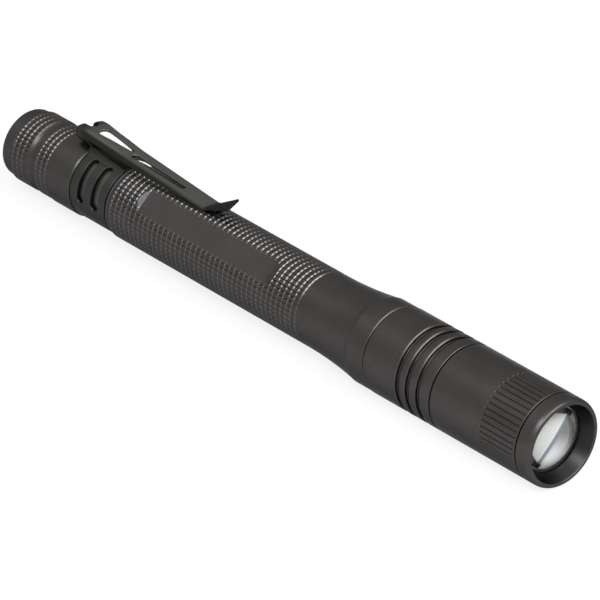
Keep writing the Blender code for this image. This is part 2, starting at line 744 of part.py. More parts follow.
def make_panel_cutter(mat):
    """Block that mills the smooth panel, with a rounded run-out at each end."""
    floor = BARREL_RADIUS - PANEL_DEPTH
    mill_radius = (PANEL_RUN_OUT**2 + PANEL_DEPTH**2) / (2 * PANEL_DEPTH)
    run_out = math.degrees(math.asin(PANEL_RUN_OUT / mill_radius)) + MILL_OVERRUN
    start = shoulder_at + PANEL_FROM_SHOULDER
    end = start + PANEL_LENGTH
    tail = arc((start + PANEL_RUN_OUT, floor + mill_radius), mill_radius, -90 - run_out, -90, 6)
    nose = arc((end - PANEL_RUN_OUT, floor + mill_radius), mill_radius, -90, -90 + run_out, 6)
    bm = bmesh.new()
    half = BARREL_RADIUS
    verts = [bm.verts.new((x - shoulder_at, -half, z)) for x, z in tail + nose]
    face = bm.faces.new(verts)
    result = bmesh.ops.extrude_face_region(bm, geom=[face])
    moved = [item for item in result["geom"] if isinstance(item, bmesh.types.BMVert)]
    bmesh.ops.translate(bm, verts=moved, vec=(0.0, 2 * half, 0.0))
    cutter = add_object("panel_cutter", bm, mat, shoulder_at)
    cutter.rotation_euler = (PANEL_ANGLE, 0.0, 0.0)
    return tool(cutter)


def make_battery(name, start, mat):
    body_end = start + CELL_LENGTH - NUB_LENGTH
    outline = [
        (start, 0.0),
        (start, CELL_RADIUS - CELL_EDGE),
        (start + CELL_EDGE, CELL_RADIUS),
        (body_end - CELL_EDGE, CELL_RADIUS),
        (body_end, CELL_RADIUS - CELL_EDGE),
        (body_end, NUB_RADIUS),
        (start + CELL_LENGTH, NUB_RADIUS),
        (start + CELL_LENGTH, 0.0),
    ]
    return turned(name, outline, mat, start, INNER_SIDES)


# Tail


def make_tail_cap(mat):
    grip_end = CAP_END_LENGTH + CAP_GRIP_LENGTH
    groove = grip_end + CAP_GROOVE_SLOPE
    groove_end = groove + CAP_GROOVE_WIDTH
    second_end = groove_end + CAP_SECOND_GRIP_LENGTH
    round_center = (CAP_END_ROUND, CAP_END_RADIUS - CAP_END_ROUND)
    seal_floor = CAP_LENGTH - CAP_SEAL_DEPTH
    seal_radius = neck_radius + 2 * TAIL_RING_SECTION + RING_GAP
    outline = [
        (0.0, button_hole_radius),
        *reversed(arc(round_center, CAP_END_ROUND, 90, 180)),
        (CAP_END_LENGTH, CAP_END_RADIUS),
        (CAP_END_LENGTH, CAP_RADIUS - CAP_STEP),
        (grip_end, CAP_RADIUS - CAP_STEP),
        (groove, CAP_GROOVE_RADIUS),
        (groove_end, CAP_GROOVE_RADIUS),
        (groove_end, CAP_RADIUS - CAP_STEP),
        (second_end, CAP_RADIUS - CAP_STEP),
        (second_end + CAP_STEP, CAP_RADIUS),
        (CAP_LENGTH - CAP_MOUTH_CHAMFER, CAP_RADIUS),
        (CAP_LENGTH, CAP_RADIUS - CAP_MOUTH_CHAMFER),
        (CAP_LENGTH, seal_radius),
        (seal_floor, seal_radius),
        (seal_floor, cap_thread_radius),
        (retainer_at - SEAT_GAP, cap_thread_radius),
        (retainer_at - SEAT_GAP, cap_switch_radius),
        (CAP_END_WALL, cap_switch_radius),
        (CAP_END_WALL, button_hole_radius),
    ]
    return turned("tail_cap", outline, mat, 0.0)


def make_tail_o_ring(mat):
    place = CAP_LENGTH - CAP_SEAL_DEPTH + RING_GAP
    return o_ring("tail_o_ring", place, neck_radius + RING_GAP / 2, TAIL_RING_SECTION, mat)


def make_switch_button(mat):
    flange_end = button_flange_at + BUTTON_FLANGE
    edge_at = BUTTON_CROWN - BUTTON_PROUD
    crown = sagitta_arc((edge_at, -BUTTON_RADIUS), (edge_at, BUTTON_RADIUS), BUTTON_CROWN, 10)
    outline = [
        (-BUTTON_PROUD, 0.0),
        *crown[6:],
        (button_flange_at, BUTTON_RADIUS),
        (button_flange_at, BUTTON_FLANGE_RADIUS),
        (flange_end, BUTTON_FLANGE_RADIUS),
        (flange_end, 0.0),
    ]
    return turned("switch_button", outline, mat, 0.0, INNER_SIDES)


def make_switch_plunger(mat):
    start = button_flange_at + BUTTON_FLANGE + SEAT_GAP
    end = switch_at + PLUNGER_IN_SWITCH
    outline = [(start, 0.0), (start, PLUNGER_RADIUS), (end, PLUNGER_RADIUS), (end, 0.0)]
    return turned("switch_plunger", outline, mat, start, SMALL_SIDES)


def make_switch_housing(mat):
    end = switch_at + SWITCH_LENGTH
    bore = PLUNGER_RADIUS + RUN_GAP
    floor = end - SWITCH_FLOOR
    outline = [
        (switch_at, bore),
        (switch_at, SWITCH_RADIUS - CELL_EDGE),
        (switch_at + CELL_EDGE, SWITCH_RADIUS),
        (end, SWITCH_RADIUS),
        (end, 0.0),
        (floor, 0.0),
        (floor, bore),
    ]
    return turned("switch_housing", outline, mat, switch_at, INNER_SIDES)


def make_switch_spring(mat):
    start = switch_at + PLUNGER_IN_SWITCH + SEAT_GAP
    end = switch_at + SWITCH_LENGTH - SWITCH_FLOOR - SEAT_GAP
    radii = (SPRING_RADIUS, SPRING_RADIUS)
    return spring("switch_spring", start, end - start, *radii, SPRING_WIRE, SPRING_TURNS, mat)


def make_switch_board(mat):
    end = switch_board_at + SWITCH_BOARD
    outline = [(switch_board_at, 0.0), (switch_board_at, SWITCH_RADIUS), (end, SWITCH_RADIUS), (end, 0.0)]
    return turned("switch_board", outline, mat, switch_board_at, INNER_SIDES)


def make_switch_retainer(mat):
    end = retainer_at + RETAINER_THICKNESS
    outline = rectangle(retainer_at, end, RETAINER_HOLE, neck_radius)
    return turned("switch_retainer", outline, mat, retainer_at, INNER_SIDES)


def make_tail_spring(mat):
    return spring(
        "tail_spring",
        tail_spring_at,
        TAIL_SPRING_LENGTH,
        TAIL_SPRING_BASE,
        TAIL_SPRING_TIP,
        TAIL_SPRING_WIRE,
        TAIL_SPRING_TURNS,
        mat,
    )


# Clip


def slot_cutter(place, width, side, mat):
    """Curved bar with round ends that cuts one slot through the band."""
    bm = bmesh.new()
    inner = BAND_RADIUS - BAND_WALL - CUT_OVER / 2
    outer = BAND_RADIUS + CUT_OVER / 2
    round_angle = width / 2 / BAND_RADIUS
    stations = []
    for k in range(1, ROUND_STEPS):
        turn = math.pi / 2 * k / ROUND_STEPS
        stations.append((BAND_SLOT_START + round_angle * (1 - math.cos(turn)), math.sin(turn)))
    mirrored = [(BAND_SLOT_START + BAND_SLOT_END - angle, share) for angle, share in stations]
    straight_start = BAND_SLOT_START + round_angle
    straight = BAND_SLOT_END - round_angle - straight_start
    for k in range(SLOT_STEPS + 1):
        stations.append((straight_start + straight * k / SLOT_STEPS, 1.0))
    stations += reversed(mirrored)
    rings = []
    for angle, share in stations:
        half = width / 2 * share
        ring = []
        for x, radius in rectangle(place - half, place + half, inner, outer):
            turn = side * angle
            ring.append(bm.verts.new((x, radius * math.sin(turn), radius * math.cos(turn))))
        rings.append(ring)
    for ring, following in zip(rings, rings[1:]):
        for k in range(4):
            bm.faces.new((ring[k], ring[(k + 1) % 4], following[(k + 1) % 4], following[k]))
    bm.faces.new(rings[0])
    bm.faces.new(reversed(rings[-1]))
    return tool(add_object(f"slot_cutter_{side}_{round(place / MM)}", bm, mat, band_at))


def clip_path():
    """Stations of the strip: (point, outward normal, half width, crown, roll, wall).

    The points lie on the face that looks at the tail cap under the tab, runs round the outside
    of the bend and becomes the arm's top. Places along X count from the band's tail edge.
    """
    bend_x = -TAB_LENGTH
    bend_z = tab_low + BEND_RADIUS
    root_low = BAND_RADIUS - BAND_WALL + ROOT_INSET
    root_wall = BAND_WALL - 2 * ROOT_INSET
    stations = [
        ((TAB_SEAT, root_low), (0.0, -1.0), TAB_HALF_WIDTH, 1.0, 0.0, root_wall),
        ((TAB_RISE, root_low), (0.0, -1.0), TAB_HALF_WIDTH, 1.0, 0.0, root_wall),
        ((0.0, tab_low), (0.0, -1.0), TAB_HALF_WIDTH, 0.4, 0.0, STRIP_WALL),
        ((bend_x / 2, tab_low), (0.0, -1.0), TAB_HALF_WIDTH, 0.1, 0.0, STRIP_WALL),
    ]
    tip = Vector((bend_x + ARM_LENGTH, arm_tip_height))
    slope = math.atan2(bend_z + BEND_RADIUS - tip.y, ARM_LENGTH)
    for k in range(BEND_STEPS + 1):
        share = k / BEND_STEPS
        angle = -math.pi / 2 - (math.pi + slope) * share
        normal = (math.cos(angle), math.sin(angle))
        point = (bend_x + BEND_RADIUS * normal[0], bend_z + BEND_RADIUS * normal[1])
        half = TAB_HALF_WIDTH + (BEND_HALF_WIDTH - TAB_HALF_WIDTH) * min(1.0, 4 * share)
        stations.append((point, normal, half, 0.0, 0.0, STRIP_WALL))
    start = Vector(stations[-1][0])
    for share in (0.06, 0.3, 0.65, 1.0):
        point = tuple(start.lerp(tip, share))
        half = ARM_HALF_WIDTH + (ARM_TIP_HALF_WIDTH - ARM_HALF_WIDTH) * share
        stations.append((point, normal, half, 0.0, EDGE_ROLL, STRIP_WALL))
    rise = math.atan2(TIP_UP, TIP_FORWARD)
    tilt = (-math.sin(rise), math.cos(rise))
    for share in (0.15, 0.9, 1.0):
        point = (tip.x + TIP_FORWARD * share, tip.y + TIP_UP * share)
        half = ARM_TIP_HALF_WIDTH - (TIP_CORNER if share == 1.0 else 0.0)
        stations.append((point, tilt, half, 0.0, EDGE_ROLL, STRIP_WALL))
    return stations


def make_clip_strip(mat):
    """The bent strip: root on the band, tab, bend, arm and turned-up tip."""
    bm = bmesh.new()
    columns = (-1.0, -0.72, -0.36, 0.0, 0.36, 0.72, 1.0)
    faces_out = []
    faces_in = []
    for (x, z), normal, half, crown, roll, wall in clip_path():
        outer_row = []
        inner_row = []
        for share in columns:
            y = share * half
            radius = z
            drop = crown * (radius - math.sqrt(radius * radius - y * y))
            if abs(share) == 1.0:
                drop += roll
            toward_axis = drop if normal[1] > 0 else -drop
            px = x - normal[0] * toward_axis
            pz = z - normal[1] * toward_axis
            outer_row.append(bm.verts.new((px, y, pz)))
            inner_row.append(bm.verts.new((px - normal[0] * wall, y, pz - normal[1] * wall)))
        faces_out.append(outer_row)
        faces_in.append(inner_row)
    rows = len(faces_out)
    last = len(columns) - 1
    for i in range(rows - 1):
        for k in range(last):
            bm.faces.new((faces_out[i][k], faces_out[i][k + 1], faces_out[i + 1][k + 1], faces_out[i + 1][k]))
            bm.faces.new((faces_in[i][k + 1], faces_in[i][k], faces_in[i + 1][k], faces_in[i + 1][k + 1]))
        for k in (0, last):
            bm.faces.new((faces_out[i][k], faces_out[i + 1][k], faces_in[i + 1][k], faces_in[i][k]))
    for i in (0, rows - 1):
        for k in range(last):
            bm.faces.new((faces_out[i][k], faces_out[i][k + 1], faces_in[i][k + 1], faces_in[i][k]))
    return tool(add_object("clip_strip", bm, mat, band_at))


def stadium(start, start_radius, end, end_radius):
    """Outline of a hole with two round ends of unlike size."""
    tail = arc(start, start_radius, 90, 270, 8)
    nose = arc(end, end_radius, -90, 90, 6)
    return tail + nose


def clip_cutters(mat):
    """Tools for the teardrop, the long slot and the notch through the bend."""
    bend_x = -TAB_LENGTH
    low = tab_low + BEND_RADIUS
    high = low + BEND_RADIUS + CUT_OVER
    arm_low = BAND_RADIUS + STRIP_WALL
    eye = bend_x + EYE_START
    slot = bend_x + SLOT_START
    outlines = [
        stadium((eye, 0.0), EYE_RADIUS, (eye + EYE_LENGTH, EYE_TIP_SIDE), EYE_TIP_RADIUS),
        stadium((slot, SLOT_SIDE), SLOT_RADIUS, (slot + SLOT_LENGTH, SLOT_TIP_SIDE), SLOT_TIP_RADIUS),
    ]
    cutters = [
        extruded(f"arm_cutter_{k}", points, arm_low, high, mat, band_at) for k, points in enumerate(outlines)
    ]
    half = BEND_SLOT_HALF_WIDTH
    notch_start = bend_x - BEND_RADIUS - CUT_OVER
    notch = arc((bend_x + BEND_SLOT_DEPTH, BEND_SLOT_SIDE), half, -90, 90, 6)
    notch += [(notch_start, BEND_SLOT_SIDE + half), (notch_start, BEND_SLOT_SIDE - half)]
    cutters.append(extruded("bend_notch_cutter", notch, low - BEND_RADIUS / 2, high, mat, band_at))
    return [tool(cutter) for cutter in cutters]


def make_pocket_clip(mat, tool_mat):
    strip = make_clip_strip(tool_mat)
    for cutter in clip_cutters(tool_mat):
        combine(strip, cutter, "DIFFERENCE")
    inner = BAND_RADIUS - BAND_WALL
    ends = (band_at, band_at + BAND_WIDTH)
    clip = sector_ring("pocket_clip", *ends, inner, BAND_RADIUS, BAND_HALF_GAP, mat, SIDES)
    for place, width in BAND_SLOTS:
        for side in (1, -1):
            combine(clip, slot_cutter(place, width, side, tool_mat), "DIFFERENCE")
    combine(clip, strip, "UNION")
    return clip


def make_clip_o_ring(mat):
    return o_ring("clip_o_ring", clip_ring_at, neck_radius + RING_GAP / 2, CLIP_RING_SECTION, mat)


def main():
    clear_scene()
    anodised = material("anodised", (0.070, 0.064, 0.058), 0.85, 0.42)
    clip_steel = material("clip_steel", (0.055, 0.055, 0.050), 0.80, 0.40)
    glass = material("lens_glass", (0.90, 0.92, 0.92), 0.0, 0.05)
    rubber = material("rubber", (0.015, 0.015, 0.015), 0.0, 0.70)
    bare = material("bare_aluminium", (0.75, 0.75, 0.75), 1.0, 0.35)
    brass = material("brass", (0.78, 0.57, 0.25), 1.0, 0.30)
    steel = material("spring_steel", (0.60, 0.60, 0.60), 1.0, 0.30)
    white_board = material("white_board", (0.80, 0.80, 0.78), 0.0, 0.45)
    green_board = material("green_board", (0.02, 0.16, 0.06), 0.0, 0.45)
    black_plastic = material("black_plastic", (0.02, 0.02, 0.02), 0.0, 0.50)
    phosphor = material("emitter", (0.85, 0.75, 0.20), 0.0, 0.50)
    red = material("red_insulation", (0.50, 0.02, 0.02), 0.0, 0.50)
    cell = material("cell_wrap", (0.03, 0.03, 0.035), 0.0, 0.35)

    make_bezel_ring(anodised)
    make_lens(glass)
    make_lens_gasket(rubber)
    make_focus_sleeve(anodised, anodised)
    make_focus_stop_ring(steel)
    make_focus_o_ring(rubber)
    make_head_body(anodised)
    make_head_o_ring(rubber)
    make_led_pill(bare, bare)
    make_leads(red, black_plastic)
    make_front_contact(brass)
    make_front_insulator(black_plastic)
    make_driver_board(green_board)
    make_driver_chip(black_plastic)
    make_driver_coil(brass)
    make_led_board(white_board)
    make_led_emitter(phosphor)
    make_led_dome(glass)
    make_barrel(anodised, anodised)
    make_battery("battery_front", front_cell_at, cell)
    make_battery("battery_rear", rear_cell_at, cell)
    make_pocket_clip(clip_steel, clip_steel)
    make_clip_o_ring(rubber)
    make_tail_cap(anodised)
    make_tail_o_ring(rubber)
    make_switch_button(rubber)
    make_switch_plunger(white_board)
    make_switch_housing(black_plastic)
    make_switch_spring(steel)
    make_switch_board(green_board)
    make_switch_retainer(brass)
    make_tail_spring(steel)


main()
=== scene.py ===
"""Dressed pocket flashlight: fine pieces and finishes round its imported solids.

The light lies along X with its head towards +X and its clip on top, as the solids do.
"""

import json
from math import asin, atan, atan2, copysign, cos, pi, radians, sin, sqrt, tan

import bmesh
import bpy
from mathutils import Matrix, Vector


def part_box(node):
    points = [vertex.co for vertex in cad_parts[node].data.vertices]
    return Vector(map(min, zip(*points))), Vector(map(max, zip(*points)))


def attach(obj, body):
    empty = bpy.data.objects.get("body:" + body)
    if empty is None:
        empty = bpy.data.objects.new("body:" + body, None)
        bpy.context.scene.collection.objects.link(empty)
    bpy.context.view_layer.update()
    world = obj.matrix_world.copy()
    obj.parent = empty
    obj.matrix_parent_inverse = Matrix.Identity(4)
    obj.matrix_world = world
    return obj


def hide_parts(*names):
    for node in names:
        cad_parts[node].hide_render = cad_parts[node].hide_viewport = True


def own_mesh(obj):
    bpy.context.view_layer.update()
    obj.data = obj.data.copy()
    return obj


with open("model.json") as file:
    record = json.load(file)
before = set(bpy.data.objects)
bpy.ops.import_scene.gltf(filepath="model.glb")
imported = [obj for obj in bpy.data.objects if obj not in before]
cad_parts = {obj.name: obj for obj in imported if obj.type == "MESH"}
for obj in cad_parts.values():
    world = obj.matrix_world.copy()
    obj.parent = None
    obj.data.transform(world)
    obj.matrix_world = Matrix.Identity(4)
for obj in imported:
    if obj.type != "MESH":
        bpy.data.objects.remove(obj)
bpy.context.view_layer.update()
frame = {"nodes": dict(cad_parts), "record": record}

MM = 0.001
SIDES = 128
SHARP_ANGLE = radians(32.0)
EDGE = 0.15 * MM  # softened corner of a turned piece
CUT_OVER = 1.0 * MM  # how far a cutting tool reaches past what it cuts


def span(node):
    """Where a solid starts and ends along the light."""
    low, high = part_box(node)
    return low.x, high.x


def reach(node):
    """Half the height of a round solid."""
    low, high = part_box(node)
    return (high.z - low.z) / 2


# Places and radii read from the solids
tail_x, cap_mouth_x = span("tail_cap")
barrel_tail_x, barrel_front_x = span("barrel")
head_tail_x, stem_end_x = span("head_body")
sleeve_tail_x, sleeve_front_x = span("focus_sleeve")
bezel_tail_x, rim_x = span("bezel_ring")
axis_z = head_radius = reach("head_body")
barrel_radius = reach("tail_cap")

# Knurling
TEETH = 48
TOOTH_GROOVE = 0.10  # half a lengthwise groove, as a share of a tooth's width
TOOTH_DEPTH = 0.11 * MM
ROW_PITCH = 1.34 * MM
ROW_HALF_WIDTH = 0.22 * MM
ROW_DEPTH = 0.20 * MM

# Barrel
BORE_RADIUS = 5.6 * MM
NECK_RADIUS = 6.45 * MM
NECK_LENGTH = 17.7 * MM
SHOULDER_ROUND = 0.6 * MM
FIRST_ROW = 1.0 * MM  # from the shoulder
FLARE_RIM_LENGTH = 4.55 * MM
FLARE_LENGTH = 15.2 * MM
FLARE_DIP = 0.30 * MM
FLARE_STEP = 0.075 * MM
FLARE_LEAD = 0.5 * MM  # how far past its start the flare's curve begins
SOCKET_RADIUS = 7.3 * MM
SOCKET_DEPTH = 6.0 * MM
THREAD_START = 0.5 * MM
THREAD_PITCH = 0.8 * MM
THREAD_TURNS = 5
THREAD_DEPTH = 0.3 * MM
THREAD_SAMPLES = 8
THREAD_HALF_WIDTH = 0.45 * THREAD_PITCH
PANEL_FROM_SHOULDER = 6.8 * MM
PANEL_LENGTH = 38.8 * MM
PANEL_DEPTH = 0.62 * MM
PANEL_RUN_OUT = 2.5 * MM
PANEL_ANGLE = radians(44.4)  # from the clip, towards -Y
MILL_OVERRUN = radians(12.0)

# Tail cap
CAP_END_RADIUS = 6.95 * MM
CAP_END_LENGTH = 2.5 * MM
CAP_END_ROUND = 0.45 * MM
CAP_END_WALL = 1.6 * MM
CAP_GRIP_DROP = 0.12 * MM  # of both knurled grips below the plain mouth
CAP_GRIP_END = 7.5 * MM
CAP_SLOPE_END = 8.6 * MM
CAP_SLOPE_DIP = -0.12 * MM
CAP_GROOVE_END = 9.5 * MM
CAP_SECOND_END = 13.7 * MM
CAP_GROOVE_RADIUS = 6.8 * MM
CAP_FIRST_ROW = 3.6 * MM
CAP_SECOND_ROW = 10.55 * MM
CAP_ROWS = 3
CAP_SEAL_DEPTH = 1.7 * MM
CAP_SEAL_RADIUS = 7.09 * MM
CAP_THREAD_RADIUS = 6.75 * MM
CAP_SWITCH_RADIUS = 5.5 * MM
CAP_THREAD_FLOOR = 12.4 * MM
BUTTON_HOLE_RADIUS = 4.5 * MM
BUTTON_RADIUS = 4.2 * MM
BUTTON_CROWN = 0.5 * MM
BUTTON_FLANGE_RADIUS = 5.0 * MM
BUTTON_FLANGE = 1.0 * MM
BUTTON_RING_RADIUS = 2.6 * MM
BUTTON_RING_DEPTH = 0.15 * MM
SPRING_WIRE = 0.25 * MM
SPRING_TURNS = 3.5

# Head body
HEAD_LENGTH = 17.7 * MM
HEAD_GROOVES = (9.25 * MM, 11.85 * MM, 14.65 * MM)
HEAD_GROOVE_WIDTH = 1.25 * MM
HEAD_GROOVE_DEPTH = 0.75 * MM
HEAD_BORE_RADIUS = 5.7 * MM
SPIGOT_RADIUS = 7.0 * MM
SEAL_SLOT = (-2.1 * MM, -0.75 * MM)
SEAL_SLOT_RADIUS = 6.3 * MM
STEM_RADIUS = 7.35 * MM
STEM_RECESS = (3.0 * MM, 10.4 * MM)
STEM_RECESS_RADIUS = 6.6 * MM
FOCUS_SLOT = (10.8 * MM, 12.2 * MM)
FOCUS_SLOT_RADIUS = 6.25 * MM
SPIGOT_LIP = (0.05 * MM, 0.85 * MM)
SPIGOT_LIP_RADIUS = 4.7 * MM

# Focus sleeve, bezel and lens
SLEEVE_BORE_RADIUS = 7.65 * MM
SLEEVE_SOCKET_RADIUS = 7.95 * MM
SLEEVE_LIP_RADIUS = 6.2 * MM
SLEEVE_LIP = 0.8 * MM
SLEEVE_SLOT_RADIUS = 8.3 * MM
SLEEVE_SLOT_ROOM = 0.2 * MM  # on both sides of the stop ring
RIB_GROOVE = 0.13
RIB_FLOOR = 0.35  # of a groove's width
RIB_DEPTH = 0.17 * MM
RIB_LENGTH = 9.0 * MM
RIB_FROM_FRONT = 0.36 * MM
RIB_RUN_OUT = 0.18 * MM
BEZEL_LENGTH = 3.35 * MM
BEZEL_ROUND = (1.3 * MM, 0.7 * MM)  # along the light and inwards
BEZEL_RIM_RADIUS = 7.75 * MM
BEZEL_SEAT_RADIUS = 6.45 * MM
BEZEL_SEAT_LIP = 0.35 * MM
BEZEL_BORE_RADIUS = 7.25 * MM
BEZEL_SPIGOT_RADIUS = 7.65 * MM
LENS_RADIUS = 6.95 * MM
LENS_DOME_RADIUS = 6.1 * MM
LENS_DOME_HEIGHT = 2.3 * MM
LENS_BACK_RADIUS = 5.2 * MM
LENS_BACK_HEIGHT = 0.9 * MM
LENS_FLANGE = 1.6 * MM

# Clip, along X from the band's tail edge and above the axis
BAND_RADIUS = 7.2 * MM
BAND_WIDTH = 9.9 * MM
WALL = 0.45 * MM
BAND_EDGE = 0.16 * MM
BAND_OVER = 0.26 * MM  # of its tail edge towards the cap
BAND_HALF_GAP = radians(16.0)
BAND_RISE = 1.25 * MM  # of the band's top towards the leg
BAND_RISE_LENGTH = 8.0 * MM
BAND_RISE_ANGLES = (radians(15.5), radians(25.0))
BAND_SLOTS = ((2.8 * MM, 1.8 * MM), (6.85 * MM, 2.1 * MM))
BAND_SLOT_ANGLES = (radians(25.0), radians(102.0))
SLOT_FLARE = 0.12 * MM
LEG_HALF_WIDTH = 2.35 * MM
LEG_LOW = 7.8 * MM
BEND_X = -3.7 * MM
BEND_RADIUS = 1.56 * MM
BEND_SKEW = 0.9 * MM  # of the bend's far side towards the head
BEND_CURL = 1.45
NOTCH_X = 0.75 * MM  # centre of its round end, from the middle of the bend
NOTCH_Y = 0.45 * MM
NOTCH_RADIUS = 1.1 * MM
ARM_LENGTH = 36.2 * MM
ARM_HALF_WIDTH = 2.8 * MM
ARM_TIP_HALF_WIDTH = 2.05 * MM
ARM_TIP_HEIGHT = 8.15 * MM
ARM_TOP = LEG_LOW + 2 * BEND_RADIUS  # over the bend
ARM_SLOPE = (ARM_TOP - ARM_TIP_HEIGHT) / ARM_LENGTH
ARM_CROWN_END = 14.0 * MM
SHOULDER_FLARE = 0.6 * MM  # how much wider the arm's far side starts
EYE = ((4.9 * MM, 0.0, 1.15 * MM), (12.5 * MM, 0.45 * MM, 0.35 * MM))  # both ends: place, side, radius
LONG_SLOT = ((14.7 * MM, -0.65 * MM, 0.82 * MM), (28.0 * MM, -0.3 * MM, 0.55 * MM))
TIP_FORWARD = 5.1 * MM
TIP_UP = 3.0 * MM
TIP_TAPER = 1.0 * MM
TIP_CORNER = 0.4 * MM
TIP_TWIST = radians(22.0)
EDGE_ROLL = 1.3 * MM  # how far in from its edges the strip curls
EDGE_ROLL_RADIUS = 1.35 * MM
ARM_FLARE = 0.07 * MM
FAR_LIP = 2.4 * MM  # depth of the arm's folded far edge
FAR_LIP_WALL = 0.6 * MM
FAR_LIP_LOW = 6.95 * MM

CLEAR = 0.3 * MM
LAMP_DISTANCE = 0.8

shoulder_x = barrel_tail_x + NECK_LENGTH
flare_end_x = barrel_front_x - FLARE_RIM_LENGTH
flare_x = flare_end_x - FLARE_LENGTH
head_x = barrel_front_x + CLEAR
head_front_x = head_x + HEAD_LENGTH
band_x = cap_mouth_x + CLEAR
grip_length = flare_x - shoulder_x - FIRST_ROW
row_pitch = grip_length / round(grip_length / ROW_PITCH)


# Meshes


def placed(name, data):
    """New object of the data in the scene."""
    obj = bpy.data.objects.new(name, data)
    bpy.context.scene.collection.objects.link(obj)
    return obj


def soften(mesh):
    mesh.shade_smooth()
    mesh.set_sharp_from_angle(angle=SHARP_ANGLE)


def piece(name, verts, faces):
    """Mesh object without doubles, its faces pointing outwards."""
    mesh = bpy.data.meshes.new(name)
    mesh.from_pydata(verts, [], faces)
    bm = bmesh.new()
    bm.from_mesh(mesh)
    bmesh.ops.remove_doubles(bm, verts=bm.verts, dist=0.0005 * MM)
    bmesh.ops.recalc_face_normals(bm, faces=bm.faces)
    if bm.calc_volume(signed=True) < 0.0:
        bmesh.ops.reverse_faces(bm, faces=bm.faces)
    bm.to_mesh(mesh)
    bm.free()
    soften(mesh)
    return placed(name, mesh)


def toothed_angles(share, floor=0.0):
    """Angles at the edges and floor of each groove and at the middle of each tooth."""
    middle = (-share * floor, share * floor) if floor else (0.0,)
    return [(k + off) * (2 * pi / TEETH) for k in range(TEETH) for off in (-share, *middle, share, 0.5)]


def turned(name, outline, angles=None):
    """A closed outline of (x, radius) points turned about the light's axis."""
    angles = angles or [2 * pi * k / SIDES for k in range(SIDES)]
    rows = len(outline)
    verts = [(x, r * sin(a), axis_z + r * cos(a)) for a in angles for x, r in outline]
    faces = []
    for i in range(len(angles)):
        here, there = i * rows, (i + 1) % len(angles) * rows
        for k in range(rows):
            following = (k + 1) % rows
            if outline[k][1] or outline[following][1]:
                faces.append((here + k, here + following, there + following, there + k))
    return piece(name, verts, faces)


def lofted(name, rings):
    """Skin over rings of equally many points, closed at both ends."""
    count = len(rings[0])
    verts = [point for ring in rings for point in ring]
    faces = []
    for start in range(0, len(verts) - count, count):
        for k in range(count):
            here, following = start + k, start + (k + 1) % count
            faces.append((here, following, following + count, here + count))
    faces += [tuple(range(count)), tuple(range(len(verts) - count, len(verts)))]
    return piece(name, verts, faces)


def eased(corners, steps=3):
    """Outline through (x, radius) corners.

    A third number rounds its corner by that length or, below zero, cuts it off straight.
    """
    outline = []
    for k, corner in enumerate(corners):
        place = Vector(corner[:2])
        ends = []
        for other in (corners[k - 1], corners[(k + 1) % len(corners)]):
            side = Vector(other[:2]) - place
            ends.append(place + side.normalized() * min(abs(corner[-1]), side.length / 2))
        if len(corner) == 2:
            outline.append(tuple(place))
        elif corner[2] < 0.0:
            outline += map(tuple, ends)
        else:
            for t in (i / steps for i in range(steps + 1)):
                outline.append(tuple(ends[0] * (1 - t) ** 2 + place * 2 * t * (1 - t) + ends[1] * t * t))
    return outline


def bowed(start, end, height, steps):
    """Shallow arc that stands height off its chord on the left."""
    chord = Vector(end) - Vector(start)
    side = Vector((-chord.y, chord.x)).normalized()
    half = chord.length / 2
    radius = (half * half + height * height) / (2 * height)
    middle = (Vector(start) + Vector(end)) / 2 + side * (height - radius)
    angles = [asin(half / radius) * (1 - 2 * k / steps) for k in range(steps + 1)]
    return [tuple(middle + (side * cos(a) - chord.normalized() * sin(a)) * radius) for a in angles]


def dome(x, radius, height, steps):
    """Outline of a round cap from its rim to its top on the axis."""
    ball = (radius * radius + height * height) / (2 * abs(height))
    side = copysign(1.0, height)
    angles = [asin(radius / ball) * (1 - k / steps) for k in range(steps)]
    points = [(x + height - side * ball * (1 - cos(a)), ball * sin(a)) for a in angles]
    return [*points, (x + height, 0.0)]


# Node trees


def math_with(operation):
    return lambda wire, other: wire.math(operation, other)


class Wire:
    """An output socket; arithmetic on it adds Math nodes to its tree."""

    def __init__(self, tree, socket):
        self.tree = tree
        self.socket = socket

    def out(self, name):
        return Wire(self.tree, self.socket.node.outputs[name])

    def math(self, operation, *others):
        values = dict(enumerate((self, *others)))
        return self.tree.node("ShaderNodeMath", values, {"operation": operation})

    __add__ = __radd__ = math_with("ADD")
    __mul__ = __rmul__ = math_with("MULTIPLY")
    __sub__ = math_with("SUBTRACT")
    __truediv__ = math_with("DIVIDE")
    above = math_with("GREATER_THAN")
    below = math_with("LESS_THAN")
    most = math_with("MAXIMUM")
    least = math_with("MINIMUM")

    def __rsub__(self, other):
        return self * -1.0 + other

    def inside(self, low, high):
        return self.above(low) * self.below(high)

    def rise(self, low, high):
        """0 below low, 1 above high and a soft step between them."""
        settings = {"interpolation_type": "SMOOTHSTEP"}
        values = {"Value": self, "From Min": low, "From Max": high}
        return self.tree.node("ShaderNodeMapRange", values, settings)

    def to_nearest(self):
        """Distance to the nearest whole number."""
        return ((self + 0.5).math("FRACT") - 0.5).math("ABSOLUTE")


